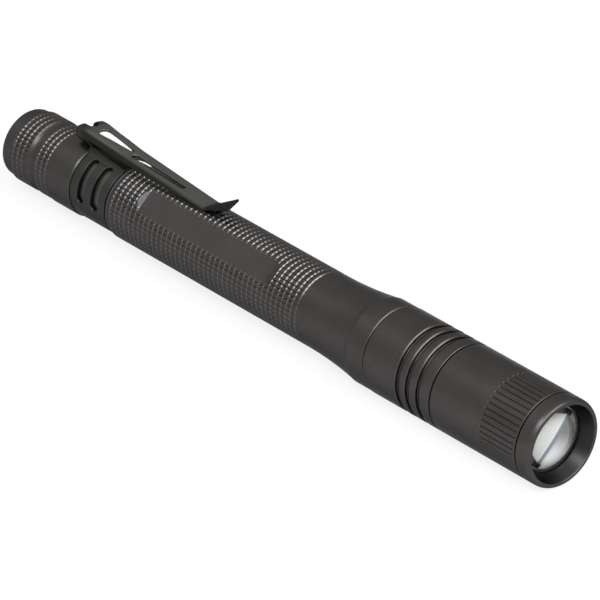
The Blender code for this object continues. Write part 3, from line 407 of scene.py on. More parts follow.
class Tree:
    """A node tree under construction."""

    def __init__(self, tree):
        self.tree = tree

    def node(self, kind, values=None, settings=None, output=0):
        """Add a node with its settings and the values or links of its sockets."""
        node = self.tree.nodes.new(kind)
        for key, value in (settings or {}).items():
            setattr(node, key, value)
        for key, value in (values or {}).items():
            self.join(value, node.inputs[key])
        return Wire(self, node.outputs[output]) if node.outputs else None

    def join(self, value, socket):
        """Link a wire to a socket, or set the socket's value."""
        if isinstance(value, Wire):
            self.tree.links.new(value.socket, socket)
        else:
            socket.default_value = value

    def vector(self, x, y, z):
        return self.node("ShaderNodeCombineXYZ", {"X": x, "Y": y, "Z": z})

    def mix(self, share, first, second):
        """Colour between first and second."""
        pair = {}
        for key, color in ((6, first), (7, second)):
            pair[key] = color if isinstance(color, Wire) else (*color, 1.0)
        return self.node("ShaderNodeMix", {0: share, **pair}, {"data_type": "RGBA"}, output=2)

    def layers(self, color, *others):
        """Lay the others over the colour one by one, each where its share says."""
        for share, other in others:
            color = self.mix(share, color, other)
        return color


# Geometry trees

GROOVE_SIZES = {
    "Axis Height": axis_z, "Skin Radius": barrel_radius, "Row Start": 0.0, "Row End": 0.0,
    "Row Pitch": 1.0, "Row Half Width": MM, "Row Depth": 0.0, "Row Twist": 0.0,
    "Tooth Count": float(TEETH), "Tooth Groove Share": TOOTH_GROOVE, "Tooth Floor Share": 0.0,
    "Tooth Depth": 0.0, "Tooth Start": 0.0, "Tooth End": 0.0, "Tooth Run Out": 0.001 * MM,
}
KNURL = {"row_half_width": ROW_HALF_WIDTH, "row_depth": ROW_DEPTH, "tooth_depth": TOOTH_DEPTH}


def make_groove_tree():
    """Tree that sinks V-grooves round a turned piece and lengthwise ones between teeth."""
    group = bpy.data.node_groups.new("cut_grooves", "GeometryNodeTree")
    kinds = {"Geometry": "Geometry", **dict.fromkeys(GROOVE_SIZES, "Float"), "Finish": "Material"}
    for name, kind in kinds.items():
        group.interface.new_socket(name, in_out="INPUT", socket_type=f"NodeSocket{kind}")
    group.interface.new_socket("Geometry", in_out="OUTPUT", socket_type="NodeSocketGeometry")
    tree = Tree(group)
    given = tree.node("NodeGroupInput")
    axis, skin, row_start, row_end, pitch, half, row_depth, twist, *teeth = map(given.out, GROOVE_SIZES)
    count, groove, floor, tooth_depth, tooth_start, tooth_end, run_out = teeth
    near = 0.01 * MM

    place = tree.node("ShaderNodeSeparateXYZ", {0: tree.node("GeometryNodeInputPosition")})
    x = place.out("X")
    y = place.out("Y")
    z = place.out("Z") - axis
    radius = (y * y + z * z).math("SQRT")
    turn = y.math("ARCTAN2", z) / (2 * pi)

    row_off = ((x - row_start) / pitch - turn * twist).to_nearest() * pitch / half
    row_zone = x.inside(row_start - half, row_end + half)
    row = (1.0 - row_off).most(0.0) * row_depth * row_zone

    tooth_off = (turn * count).to_nearest() / groove
    tooth_zone = x.inside(tooth_start - near, tooth_end + near)
    ramp = ((x - tooth_start) / run_out).least(1.0)
    wall = ((1.0 - tooth_off) / (1.0 - floor)).least(1.0)
    tooth = wall.most(0.0) * tooth_depth * tooth_zone * ramp

    depth = row.most(tooth) * radius.above(skin - near)
    inward = tree.vector(0.0, y * depth / radius * -1.0, z * depth / radius * -1.0)
    cut = tree.node("GeometryNodeSetPosition", {"Geometry": given.out("Geometry"), "Offset": inward})
    whole = tree.node("GeometryNodeRealizeInstances", {0: cut})
    values = {"Geometry": whole, "Material": given.out("Finish")}
    tree.node("NodeGroupOutput", {"Geometry": tree.node("GeometryNodeSetMaterial", values)})
    return group


def add_grooves(obj, **sizes):
    """Sink grooves of the named sizes; the others stay without effect."""
    items = groove_tree.interface.items_tree
    identifiers = {item.name: item.identifier for item in items if item.in_out == "INPUT"}
    modifier = obj.modifiers.new("grooves", "NODES")
    modifier.node_group = groove_tree
    named = {key.replace("_", " ").title(): value for key, value in sizes.items()}
    for name, value in {**GROOVE_SIZES, **named, "Finish": finishes["anodised"]}.items():
        modifier[identifiers[name]] = value


def settle(obj, tools=(), union=()):
    """Cut the tools away, join the union and keep the result as a plain mesh."""
    for other in (*tools, *union):
        modifier = obj.modifiers.new(other.name, "BOOLEAN")
        modifier.operation = "UNION" if other in union else "DIFFERENCE"
        modifier.solver = "EXACT"
        modifier.object = other
    view = bpy.context.evaluated_depsgraph_get()
    mesh = bpy.data.meshes.new_from_object(obj.evaluated_get(view), depsgraph=view)
    obj.modifiers.clear()
    obj.data = mesh
    soften(mesh)
    for other in (*tools, *union):
        bpy.data.objects.remove(other, do_unlink=True)


groove_tree = make_groove_tree()
record = frame["record"]
slot_of = {row["node"]: row["material_slot"] for row in record["subparts"]}
body_of = {node: body for body, nodes in record["behaviour"]["bodies"].items() for node in nodes}


def dress(obj, node, finish=None):
    """Let the piece stand for a solid, in its place and with its finish."""
    obj.data.materials.clear()
    obj.data.materials.append(finish or finishes[slot_of[node]])
    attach(obj, body_of[node])
    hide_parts(node)


# Finishes

DULL_EDGE = {"Specular Tint": (0.45, 0.45, 0.45, 1.0)}  # of a coated metal at a grazing view
SEAM_HALF_WIDTH = 0.03 * MM
# Directions across and along the band painted into the lens's reflection, as depth, y and height.
LENS_REFLECTION_ACROSS = (0.762, 0.497, -0.414)  # across the lens's band, as depth, y and height
LENS_REFLECTION_ALONG = (-0.023, -0.618, -0.786)


class Finish(Tree):
    """A material round one Principled shader."""

    def __init__(self, name, constants):
        self.material = bpy.data.materials.new(name)
        self.material.use_nodes = True
        super().__init__(self.material.node_tree)
        self.shader = self.tree.nodes["Principled BSDF"]
        for key, value in constants.items():
            self.feed(key, value)
        self.place = self.node("ShaderNodeTexCoord", output="Object")

    def feed(self, key, value):
        self.join(value, self.shader.inputs[key])

    def done(self, color, roughness, height=None, depth=0.004 * MM):
        """Feed what varies to the shader; fine relief follows height."""
        self.feed("Base Color", color)
        self.feed("Roughness", roughness)
        if height:
            values = {"Strength": 1.0, "Distance": depth, "Height": height}
            self.feed("Normal", self.node("ShaderNodeBump", values))
        return self.material

    def parts(self):
        """x, y, height over the light's axis and distance from it."""
        split = self.node("ShaderNodeSeparateXYZ", {0: self.place})
        y = split.out("Y")
        z = split.out("Z") - axis_z
        return split.out("X"), y, z, (y * y + z * z).math("SQRT")

    def ramp(self, share, dark, light, low=0.32):
        wire = self.node("ShaderNodeValToRGB", {"Fac": share})
        stops = wire.socket.node.color_ramp.elements
        for stop, place, color in zip(stops, (low, 1.0 - low), (dark, light)):
            stop.position = place
            stop.color = (*color, 1.0)
        return wire

    def noise(self, scale, detail=2.0, vector=None):
        values = {"Vector": vector or self.place, "Scale": scale, "Detail": detail, "Roughness": 0.6}
        return self.node("ShaderNodeTexNoise", values)


def grained(name, dark, light, roughness, grain, depth=0.004 * MM):
    """Fine-grained moulding that varies a little in colour and roughness."""
    coat = Finish(name, {"Metallic": 0.0})
    fine = coat.noise(grain, 3.0)
    share = fine * 0.65 + coat.noise(grain / 28) * 0.35
    return coat.done(coat.ramp(share, dark, light), roughness - 0.03 + share * 0.06, fine, depth)


def lathe_marked(name, dark, light, roughness):
    """Bare metal with the fine rings that a turning tool leaves."""
    coat = Finish(name, {"Metallic": 1.0})
    x, y, z, radius = coat.parts()
    rings = coat.noise(9000.0, 2.0, coat.vector(x, radius, 0.0))
    stain = coat.noise(300.0)
    share = rings * 0.6 + stain * 0.4
    return coat.done(coat.ramp(share, dark, light, 0.35), roughness + rings * 0.12, rings, 0.003 * MM)


def make_lens_painted_reflection():
    """Painted reflection of a clear lens over its pale well: a pale half and a graded half parted by a bent
    grey band that ends in dark notches, all painted, with painted shade at the rim.
    """
    constants = {"Specular IOR Level": 0.3, "Coat Weight": 0.15, "Coat Roughness": 0.03}
    coat = Finish("lens_front_painted_reflection", constants)
    x, y, z, radius = coat.parts()
    radius = radius / LENS_DOME_RADIUS
    depth = x - (rim_x - BEZEL_LENGTH)
    across, along = ((depth * a + y * b + z * c) / MM for a, b, c in (LENS_REFLECTION_ACROSS, LENS_REFLECTION_ALONG))
    band = across - 0.25 + along * along * 0.005
    end = along.math("ABSOLUTE") - across.least(0.0) * 0.5
    # Painted reflection: the graded half, its pale ring and the darker strip beside the band.
    right = coat.layers(
        (0.095, 0.095, 0.083),
        ((along + across * 0.2).rise(-2.6, 4.6), (0.54, 0.55, 0.565)),
        (radius.rise(0.78, 0.84) * 0.4, (0.42, 0.42, 0.39)),
        (along.rise(2.6, 4.2) * (1.0 - across.rise(1.4, 2.4)), (0.58, 0.57, 0.50)),
        ((1.0 - band.rise(0.6, 1.3)) * 0.35, (0.13, 0.14, 0.15)),
    )
    grey = coat.mix(band.rise(0.05, 0.6), (0.17, 0.195, 0.23), (0.095, 0.10, 0.10))
    # Painted reflection and shade: the pale half, the grey band and its pale edge, the dark notches and the
    # dark rim.
    color = coat.layers(
        coat.mix(coat.noise(700.0), (0.40, 0.41, 0.385), (0.43, 0.44, 0.41)),
        ((band * -1.0).rise(2.0, 3.2), (0.50, 0.51, 0.47)),
        (band.rise(-0.05, 0.05), coat.mix(band.rise(0.45, 0.75), grey, right)),
        (band.rise(-0.22, -0.10) * band.below(0.02), (0.47, 0.495, 0.52)),
        (end.rise(4.85, 5.1) * across.below(1.0), (0.085, 0.085, 0.075)),
        (end.rise(5.0, 5.3) * across.inside(-0.5, 0.9), (0.02, 0.02, 0.02)),
        (radius.rise(0.985, 1.0), (0.05, 0.05, 0.05)),
    )
    return coat.done(color, 0.14 + coat.noise(900.0) * 0.04)


def make_clip_finish_with_painted_light():
    """Dark satin coat with painted light: a painted highlight on the arm's flat, painted shade on its
    curled sides and tip (the tip also rougher), a painted brown reflection by the bend and a painted pale
    patch inside the far lip.
    """
    coat = Finish("clip_dark_painted_light", {"Metallic": 0.9, **DULL_EDGE})
    x, y, z, radius = coat.parts()
    fine = coat.noise(5200.0, 3.0)
    along = x - (band_x + BEND_X)
    line = ARM_TOP - along * ARM_SLOPE
    arm = along.rise(0.3 * MM, 3.0 * MM) * (ARM_LENGTH - along).rise(0.0, 0.8 * MM)
    flat = (z - line).rise(-0.55 * MM, 0.0)
    side = (z - line).rise(-3.7 * MM, -2.7 * MM) * along.rise(-2.0 * MM, 2.5 * MM)
    tip = along.rise(ARM_LENGTH - 0.2 * MM, ARM_LENGTH + 0.8 * MM)
    rise = z - (LEG_LOW + BEND_RADIUS)
    painted_reflection_warm = y.below(-1.6 * MM) * (1.0 - (along * along + rise * rise).math("SQRT").rise(0.6 * MM, 1.9 * MM))
    inside = y.inside(1.6 * MM, 2.2 * MM) * (z - line).below(-0.75 * MM) * along.above(10.9 * MM)
    # Painted light and shade: the brown reflection by the bend, the darker curled sides, the paler flat
    # top, the dark tip and the pale patch inside the far lip are painted; only the grain is the coat's own.
    color = coat.layers(
        coat.mix(fine, (0.031, 0.031, 0.028), (0.040, 0.040, 0.036)),
        (painted_reflection_warm, (0.060, 0.042, 0.030)),
        (side * (1.0 - tip), (0.018, 0.018, 0.016)),
        (flat * arm, (0.076, 0.076, 0.069)),
        (tip, (0.014, 0.014, 0.013)),
        (inside * (1.0 - along.rise(13 * MM, 17 * MM)), (0.40, 0.40, 0.39)),
    )
    return coat.done(color, 0.35 + fine * 0.06 + tip * 0.3, fine)


def make_anodised_finish_with_painted_light():
    """Blasted gunmetal coat, paler in the knurl's rows, with painted light on the neck under the clip and
    painted shade in the bezel's hollow front.
    """
    coat = Finish("anodised_grey_painted_light", {"Metallic": 0.95, **DULL_EDGE})
    x, y, z, radius = coat.parts()
    fine = coat.noise(5200.0, 3.0)
    share = fine * 0.65 + coat.noise(186.0) * 0.35
    on_cap = x.below(band_x)
    sunk = barrel_radius - radius - on_cap * CAP_GRIP_DROP
    tooth = (y.math("ARCTAN2", z) * (TEETH / (2 * pi))).to_nearest()
    land = tooth.rise(TOOTH_GROOVE, 2 * TOOTH_GROOVE)
    rows = (x - shoulder_x - FIRST_ROW) / row_pitch
    in_row = rows.to_nearest().below(0.9 * ROW_HALF_WIDTH / ROW_PITCH).most(on_cap)
    knurled = x.inside(shoulder_x, flare_x + ROW_HALF_WIDTH)
    for low, high in ((CAP_END_LENGTH, CAP_GRIP_END), (CAP_GROOVE_END, CAP_SECOND_END)):
        knurled = knurled + x.inside(tail_x + low, tail_x + high)
    bead = sunk.rise(0.02 * MM, 0.1 * MM) * sunk.below(ROW_DEPTH + 0.01 * MM) * land * in_row * knurled
    # Painted light: the neck under the band is painted paler, against the shade in the band's slots.
    neck = radius.inside(NECK_RADIUS - 0.05 * MM, NECK_RADIUS + 0.05 * MM)
    neck = neck * x.inside(band_x, band_x + BAND_WIDTH)
    # Painted shade: the bezel's hollow front is painted darker, as a painted reflection of the dark inside.
    dish_painted_shade = (rim_x - x).below(BEZEL_LENGTH) * radius.below(BEZEL_RIM_RADIUS - 0.05 * MM)
    seam = 0.0
    for place in (head_front_x, sleeve_front_x):
        seam = x.inside(place - SEAM_HALF_WIDTH, place + SEAM_HALF_WIDTH) + seam
    color = coat.layers(
        coat.ramp(share, (0.042, 0.039, 0.0365), (0.058, 0.0545, 0.0515)),
        (bead, (0.085, 0.081, 0.078)),
        (neck, (0.070, 0.066, 0.063)),
        (dish_painted_shade, (0.026, 0.025, 0.025)),
        (seam, (0.006, 0.006, 0.006)),
    )
    return coat.done(color, 0.33 + share * 0.06 - bead * 0.09 + seam * 0.4, fine)


def make_clear_finish():
    """Clear resin of the emitter's dome."""
    coat = Finish("clear_resin", {"Transmission Weight": 1.0, "IOR": 1.5})
    haze = coat.noise(1500.0)
    return coat.done(coat.mix(haze, (0.96, 0.97, 0.96), (1.0, 1.0, 1.0)), 0.03 + haze * 0.05)


def make_emitter_finish():
    """Yellow phosphor square on a white package."""
    coat = Finish("phosphor", {})
    x, y, z, radius = coat.parts()
    off = y.math("ABSOLUTE").most(z.math("ABSOLUTE"))
    grain = coat.noise(6000.0)
    yellow = coat.mix(grain, (0.80, 0.62, 0.08), (0.88, 0.74, 0.16))
    return coat.done(coat.mix(off.rise(1.05 * MM, 1.15 * MM), yellow, (0.80, 0.80, 0.78)), 0.5, grain)


def make_board_finish(name, ground, track):
    """Circuit board: ground colour, fine parallel tracks and round pads."""
    pitch = 0.8 * MM
    coat = Finish(name, {})
    x, y, z, radius = coat.parts()
    lines = (y / pitch).to_nearest().below(0.14) * (z / (pitch * 5)).to_nearest().above(0.12)
    pads = ((y / (pitch * 3)).to_nearest() + (z / (pitch * 3)).to_nearest()).below(0.12)
    mottled = coat.mix(coat.noise(2500.0), ground, tuple(0.8 * channel for channel in ground))
    color = coat.mix(lines.most(pads) * 0.8, mottled, track)
    return coat.done(color, 0.34 + coat.noise(1200.0) * 0.16, lines, 0.01 * MM)


def make_cell_finish():
    """Dark film sleeve with a copper-coloured end, bare steel at both poles."""
    coat = Finish("cell_sleeve", {"Metallic": 0.6, "Coat Weight": 0.4})
    x, y, z, radius = coat.parts()
    tail, head = span("battery_rear")
    pitch = span("battery_front")[0] - tail
    along = ((x - tail) / pitch).math("FRACT")
    sleeve = coat.mix(along.rise(0.735, 0.74), (0.03, 0.03, 0.035), (0.55, 0.25, 0.10))
    grain = coat.noise(1800.0)
    color = coat.mix(radius.below(4.6 * MM), sleeve, (0.70, 0.70, 0.68))
    return coat.done(color, 0.25 + grain * 0.15, grain, 0.003 * MM)


finishes = {
    "anodised": make_anodised_finish_with_painted_light(),
    "clip_steel": make_clip_finish_with_painted_light(),
    "rubber": grained("black_rubber", (0.012, 0.012, 0.012), (0.022, 0.022, 0.022), 0.7, 3000.0, 0.01 * MM),
    "bare_aluminium": lathe_marked("turned_aluminium", (0.68, 0.68, 0.68), (0.80, 0.80, 0.80), 0.26),
    "brass": lathe_marked("turned_brass", (0.66, 0.46, 0.18), (0.82, 0.60, 0.26), 0.24),
    "spring_steel": lathe_marked("drawn_steel", (0.50, 0.50, 0.50), (0.64, 0.64, 0.63), 0.24),
    "white_board": make_board_finish("board_white", (0.80, 0.80, 0.78), (0.62, 0.60, 0.52)),
    "green_board": make_board_finish("board_green", (0.02, 0.16, 0.06), (0.45, 0.30, 0.10)),
    "black_plastic": grained("moulded_black", (0.016, 0.016, 0.016), (0.028, 0.028, 0.028), 0.48, 2600.0),
    "red_insulation": grained("lead_red", (0.42, 0.015, 0.015), (0.55, 0.03, 0.03), 0.5, 2600.0),
    "lens_glass": make_clear_finish(),
    "emitter": make_emitter_finish(),
    "cell_wrap": make_cell_finish(),
}
lens_painted_reflection = make_lens_painted_reflection()


# Barrel


def rows_between(first, count, pitch, radius):
    """Three stations for each row groove: both edges and its floor."""
    offsets = (-ROW_HALF_WIDTH, 0.0, ROW_HALF_WIDTH)
    return [(first + k * pitch + off, radius) for k in range(count) for off in offsets]


def sunk(start, ends, skin, floor, *ease):
    """Four corners of a square recess."""
    low, high = (start + end for end in ends)
    return [(low, skin, *ease), (low, floor), (high, floor), (high, skin)]


def make_panel_mill():
    """Block over the mill's path, rounded at both ends of the panel."""
    start = shoulder_x + PANEL_FROM_SHOULDER
    radius = (PANEL_RUN_OUT**2 + PANEL_DEPTH**2) / (2 * PANEL_DEPTH)
    past = asin(PANEL_RUN_OUT / radius) + MILL_OVERRUN
    ends = ((start + PANEL_RUN_OUT, -past, 0.0), (start + PANEL_LENGTH - PANEL_RUN_OUT, 0.0, past))
    path = [(middle, low + (high - low) * k / 16) for middle, low, high in ends for k in range(17)]
    out = Vector((0.0, -sin(PANEL_ANGLE), cos(PANEL_ANGLE)))
    side = Vector((0.0, cos(PANEL_ANGLE), sin(PANEL_ANGLE)))
    rings = ([], [])
    for ring, offset in zip(rings, (-barrel_radius, barrel_radius)):
        for middle, angle in path:
            height = barrel_radius - PANEL_DEPTH + radius * (1 - cos(angle))
            on_path = Vector((middle + radius * sin(angle), 0.0, axis_z))
            ring.append(tuple(on_path + out * height + side * offset))
    return lofted("panel_mill", rings)


def make_barrel():
    rim_radius = reach("barrel")
    thread_start = barrel_tail_x + THREAD_START
    thread_end = thread_start + THREAD_TURNS * THREAD_PITCH
    socket_floor = head_x - SOCKET_DEPTH - CLEAR
    first_row = shoulder_x + FIRST_ROW
    row_count = round((flare_x - first_row) / row_pitch) + 1
    last_row = first_row + (row_count - 1) * row_pitch
    steps = range(THREAD_TURNS * THREAD_SAMPLES + 1)
    rim = (flare_end_x, rim_radius - FLARE_STEP)
    corners = [
        (barrel_tail_x, BORE_RADIUS), (barrel_tail_x, NECK_RADIUS, EDGE),
        *[(thread_start + k * THREAD_PITCH / THREAD_SAMPLES, NECK_RADIUS) for k in steps],
        (shoulder_x, NECK_RADIUS), (shoulder_x, barrel_radius, SHOULDER_ROUND),
        *rows_between(first_row, row_count, row_pitch, barrel_radius),
        *bowed((flare_x + FLARE_LEAD, barrel_radius), rim, -FLARE_DIP, 16),
        (flare_end_x + EDGE, rim_radius, EDGE), (barrel_front_x, rim_radius, -0.2 * MM),
        (barrel_front_x, SOCKET_RADIUS, EDGE), (socket_floor, SOCKET_RADIUS), (socket_floor, BORE_RADIUS),
    ]
    barrel = turned("barrel_knurled", eased(corners, 5), toothed_angles(TOOTH_GROOVE))
    add_grooves(
        barrel,
        row_start=first_row, row_end=last_row, row_pitch=row_pitch,
        tooth_start=shoulder_x + SHOULDER_ROUND, tooth_end=last_row - row_pitch + ROW_HALF_WIDTH,
        **KNURL,
    )
    add_grooves(
        barrel,
        skin_radius=NECK_RADIUS, row_start=thread_start, row_end=thread_end - THREAD_HALF_WIDTH,
        row_pitch=THREAD_PITCH, row_half_width=THREAD_HALF_WIDTH, row_depth=THREAD_DEPTH, row_twist=1.0,
    )
    settle(barrel, [make_panel_mill()])
    dress(barrel, "barrel")


# Tail cap and button


def make_tail_cap():
    grip = barrel_radius - CAP_GRIP_DROP
    floor = grip - TOOTH_DEPTH
    mouth = cap_mouth_x - tail_x
    rows_length = (CAP_ROWS - 1) * ROW_PITCH
    second_start = CAP_GROOVE_END + 2 * EDGE
    corners = [
        (0.0, BUTTON_HOLE_RADIUS, EDGE), (0.0, CAP_END_RADIUS, CAP_END_ROUND),
        (CAP_END_LENGTH - EDGE, CAP_END_RADIUS), (CAP_END_LENGTH + EDGE, grip),
        *rows_between(CAP_FIRST_ROW, CAP_ROWS, ROW_PITCH, grip),
        *bowed((CAP_GRIP_END, grip), (CAP_SLOPE_END, CAP_GROOVE_RADIUS), CAP_SLOPE_DIP, 10),
        (CAP_GROOVE_END, CAP_GROOVE_RADIUS), (CAP_GROOVE_END + EDGE, floor), (second_start, grip),
        *rows_between(CAP_SECOND_ROW, CAP_ROWS, ROW_PITCH, grip), (CAP_SECOND_END, grip),
        (CAP_SECOND_END + CAP_GRIP_DROP, barrel_radius), (mouth, barrel_radius, -0.3 * MM),
        (mouth, CAP_SEAL_RADIUS), (mouth - CAP_SEAL_DEPTH, CAP_SEAL_RADIUS),
        (mouth - CAP_SEAL_DEPTH, CAP_THREAD_RADIUS), (CAP_THREAD_FLOOR, CAP_THREAD_RADIUS),
        (CAP_THREAD_FLOOR, CAP_SWITCH_RADIUS), (CAP_END_WALL, CAP_SWITCH_RADIUS),
        (CAP_END_WALL, BUTTON_HOLE_RADIUS),
    ]
    outline = [(tail_x + x, radius) for x, radius in eased(corners, 6)]
    cap = turned("tail_cap_knurled", outline, toothed_angles(TOOTH_GROOVE))
    for first, start, end in (
        (CAP_FIRST_ROW, CAP_END_LENGTH + EDGE, CAP_GRIP_END),
        (CAP_SECOND_ROW, second_start, CAP_SECOND_ROW + rows_length - ROW_HALF_WIDTH),
    ):
        add_grooves(
            cap,
            skin_radius=floor + 0.1 * MM, row_start=tail_x + first, row_end=tail_x + first + rows_length,
            row_pitch=ROW_PITCH, tooth_start=tail_x + start, tooth_end=tail_x + end,
            **KNURL,
        )
    settle(cap)
    dress(cap, "tail_cap")


def make_button():
    low, high = span("switch_button")
    edge_x = low + BUTTON_CROWN
    flange_x = high - BUTTON_FLANGE
    face = []
    for x, radius in reversed(dome(edge_x, BUTTON_RADIUS - 0.3 * MM, -BUTTON_CROWN, 24)):
        off = abs(radius - BUTTON_RING_RADIUS) / (0.3 * MM)
        face.append((x + BUTTON_RING_DEPTH * max(0.0, 1.0 - off * off), radius))
    outline = [
        *face, (edge_x + 0.1 * MM, BUTTON_RADIUS - 0.1 * MM), (edge_x + 0.3 * MM, BUTTON_RADIUS),
        (flange_x, BUTTON_RADIUS), (flange_x, BUTTON_FLANGE_RADIUS), (high, BUTTON_FLANGE_RADIUS),
        (high, 0.0),
    ]
    dress(turned("switch_button_domed", outline), "switch_button")


def make_switch_spring():
    """Coil of round wire in the place of its solid, which the button presses together towards the head."""
    low, high = span("switch_spring")
    radius = reach("switch_spring") - SPRING_WIRE
    rise = high - low - 2 * SPRING_WIRE
    whole = 2 * pi * SPRING_TURNS
    count = round(SPRING_TURNS * 32)
    rings = []
    for k in range(count + 1):
        turn = whole * k / count
        out = Vector((0.0, sin(turn), cos(turn)))
        across = Vector((rise / whole, radius * out.z, -radius * out.y)).normalized().cross(out)
        centre = Vector((low + SPRING_WIRE + rise * k / count, 0.0, axis_z)) + out * radius
        ring = [out * cos(pi * i / 6) + across * sin(pi * i / 6) for i in range(12)]
        rings.append([tuple(centre + point * SPRING_WIRE) for point in ring])
    coil = lofted("switch_spring_coil", rings)
    dress(coil, "switch_spring")
    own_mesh(coil)


# Head body


def make_head_body():
    corners = [
        (head_tail_x, BORE_RADIUS), (head_tail_x, SPIGOT_RADIUS, EDGE),
        *sunk(head_x, SEAL_SLOT, SPIGOT_RADIUS, SEAL_SLOT_RADIUS), (head_x, SPIGOT_RADIUS),
        (head_x, head_radius, 0.2 * MM),
    ]
    floor = head_radius - HEAD_GROOVE_DEPTH
    for centre in HEAD_GROOVES:
        low = head_x + centre - HEAD_GROOVE_WIDTH / 2
        high = head_x + centre + HEAD_GROOVE_WIDTH / 2
        corners += [
            (low, head_radius, -0.22 * MM), (low + 0.06 * MM, floor, 0.12 * MM),
            (high - 0.06 * MM, floor, 0.12 * MM), (high, head_radius, 0.16 * MM),
        ]
    corners += [
        (head_front_x, head_radius, -0.13 * MM), (head_front_x, STEM_RADIUS),
        *sunk(head_front_x, STEM_RECESS, STEM_RADIUS, STEM_RECESS_RADIUS, 0.1 * MM),
        *sunk(head_front_x, FOCUS_SLOT, STEM_RADIUS, FOCUS_SLOT_RADIUS), (stem_end_x, STEM_RADIUS, EDGE),
        (stem_end_x, HEAD_BORE_RADIUS), (head_x + SPIGOT_LIP[1], HEAD_BORE_RADIUS),
        (head_x + SPIGOT_LIP[1], SPIGOT_LIP_RADIUS), (head_x + SPIGOT_LIP[0], SPIGOT_LIP_RADIUS),
        (head_x + SPIGOT_LIP[0], BORE_RADIUS),
    ]
    dress(turned("head_body_grooved", eased(corners, 4)), "head_body")


# Focus sleeve, bezel and lens


def make_focus_sleeve():
    socket_floor = bezel_tail_x - CLEAR
    ring_start, ring_end = span("focus_stop_ring")
    ring_slot = (ring_end + SLEEVE_SLOT_ROOM, ring_start - SLEEVE_SLOT_ROOM)
    rib_end = sleeve_front_x - RIB_FROM_FRONT
    rib_start = rib_end - RIB_LENGTH
    guard = 0.02 * MM
    ribs = (-guard, 0.0, RIB_RUN_OUT / 2, RIB_RUN_OUT, RIB_RUN_OUT + guard)
    corners = [
        (sleeve_tail_x, SLEEVE_BORE_RADIUS, EDGE), (sleeve_tail_x, head_radius, 0.2 * MM),
        *[(rib_start + place, head_radius) for place in ribs],
        (rib_end - guard, head_radius), (rib_end, head_radius), (sleeve_front_x, head_radius, -0.12 * MM),
        (sleeve_front_x, SLEEVE_SOCKET_RADIUS), (socket_floor, SLEEVE_SOCKET_RADIUS),
        (socket_floor, SLEEVE_LIP_RADIUS), (socket_floor - SLEEVE_LIP, SLEEVE_LIP_RADIUS),
        (socket_floor - SLEEVE_LIP, SLEEVE_BORE_RADIUS),
        *sunk(0.0, ring_slot, SLEEVE_BORE_RADIUS, SLEEVE_SLOT_RADIUS),
    ]
    angles = toothed_angles(RIB_GROOVE, RIB_FLOOR)
    sleeve = turned("focus_sleeve_ribbed", eased(corners, 3), angles)
    add_grooves(
        sleeve,
        skin_radius=head_radius, tooth_groove_share=RIB_GROOVE, tooth_floor_share=RIB_FLOOR,
        tooth_depth=RIB_DEPTH, tooth_start=rib_start, tooth_end=rib_end - guard,
        tooth_run_out=RIB_RUN_OUT,
    )
    settle(sleeve)
    dress(sleeve, "focus_sleeve")


def make_bezel():
    bezel_x = rim_x - BEZEL_LENGTH
    seat_x = bezel_x + BEZEL_SEAT_LIP
    length, inwards = BEZEL_ROUND
    turns = [pi / 2 * k / 12 for k in range(13)]
    corners = [
        (bezel_x, BEZEL_SPIGOT_RADIUS), (bezel_x, head_radius, 0.12 * MM),
        *[(rim_x - length * (1 - sin(a)), head_radius - inwards * (1 - cos(a))) for a in turns],
        (rim_x, BEZEL_RIM_RADIUS, 0.3 * MM), (seat_x + BEZEL_SEAT_LIP, BEZEL_SEAT_RADIUS, 0.15 * MM),
        (seat_x, BEZEL_SEAT_RADIUS), (seat_x, BEZEL_BORE_RADIUS), (bezel_tail_x, BEZEL_BORE_RADIUS),
        (bezel_tail_x, BEZEL_SPIGOT_RADIUS),
    ]
    dress(turned("bezel_dished", eased(corners, 8)), "bezel_ring")


def make_lens():
    front = rim_x - BEZEL_LENGTH + BEZEL_SEAT_LIP - CLEAR
    back = front - LENS_FLANGE
    outline = [
        *reversed(dome(front, LENS_DOME_RADIUS, LENS_DOME_HEIGHT, 20)), (front, LENS_RADIUS - 0.1 * MM),
        (front - 0.1 * MM, LENS_RADIUS), (back, LENS_RADIUS),
        *dome(back, LENS_BACK_RADIUS, -LENS_BACK_HEIGHT, 12),
    ]
    dress(turned("lens_domed", outline), "lens", lens_painted_reflection)


# Clip


def tapered_hole(tail, head, grow):
    """Outline of a hole with two round ends, grown on all sides."""
    points = []
    for (middle, side, radius), turn in ((tail, 90.0), (head, 270.0)):
        radius += grow
        for angle in (radians(turn + 180.0 * k / 12) for k in range(13)):
            points.append((middle + radius * cos(angle), side + radius * sin(angle)))
    return points


def smooth(value, low, high):
    """0 below low, 1 above high and a soft step between them."""
    share = min(1.0, max(0.0, (value - low) / (high - low)))
    return share * share * (3 - 2 * share)


def make_band():
    """Split band round the neck, its top raised to meet the leg."""
    inner = BAND_RADIUS - WALL
    corners = [
        (-BAND_OVER, inner, BAND_EDGE / 2), (-BAND_OVER, BAND_RADIUS, BAND_EDGE),
        (BAND_WIDTH, BAND_RADIUS, BAND_EDGE), (BAND_WIDTH, inner, BAND_EDGE / 2),
    ]
    section = eased(corners, 4)
    rings = []
    for k in range(145):
        angle = pi + BAND_HALF_GAP + 2 * (pi - BAND_HALF_GAP) * k / 144
        top = BAND_RISE * (1 - smooth(abs(angle - 2 * pi), *BAND_RISE_ANGLES))
        ring = []
        for x, r in section:
            r += top * (1 - smooth(x, 0.0, BAND_RISE_LENGTH)) * (r - inner) / WALL
            ring.append((band_x + x, r * sin(angle), axis_z + r * cos(angle)))
        rings.append(ring)
    return lofted("clip_folded", rings)


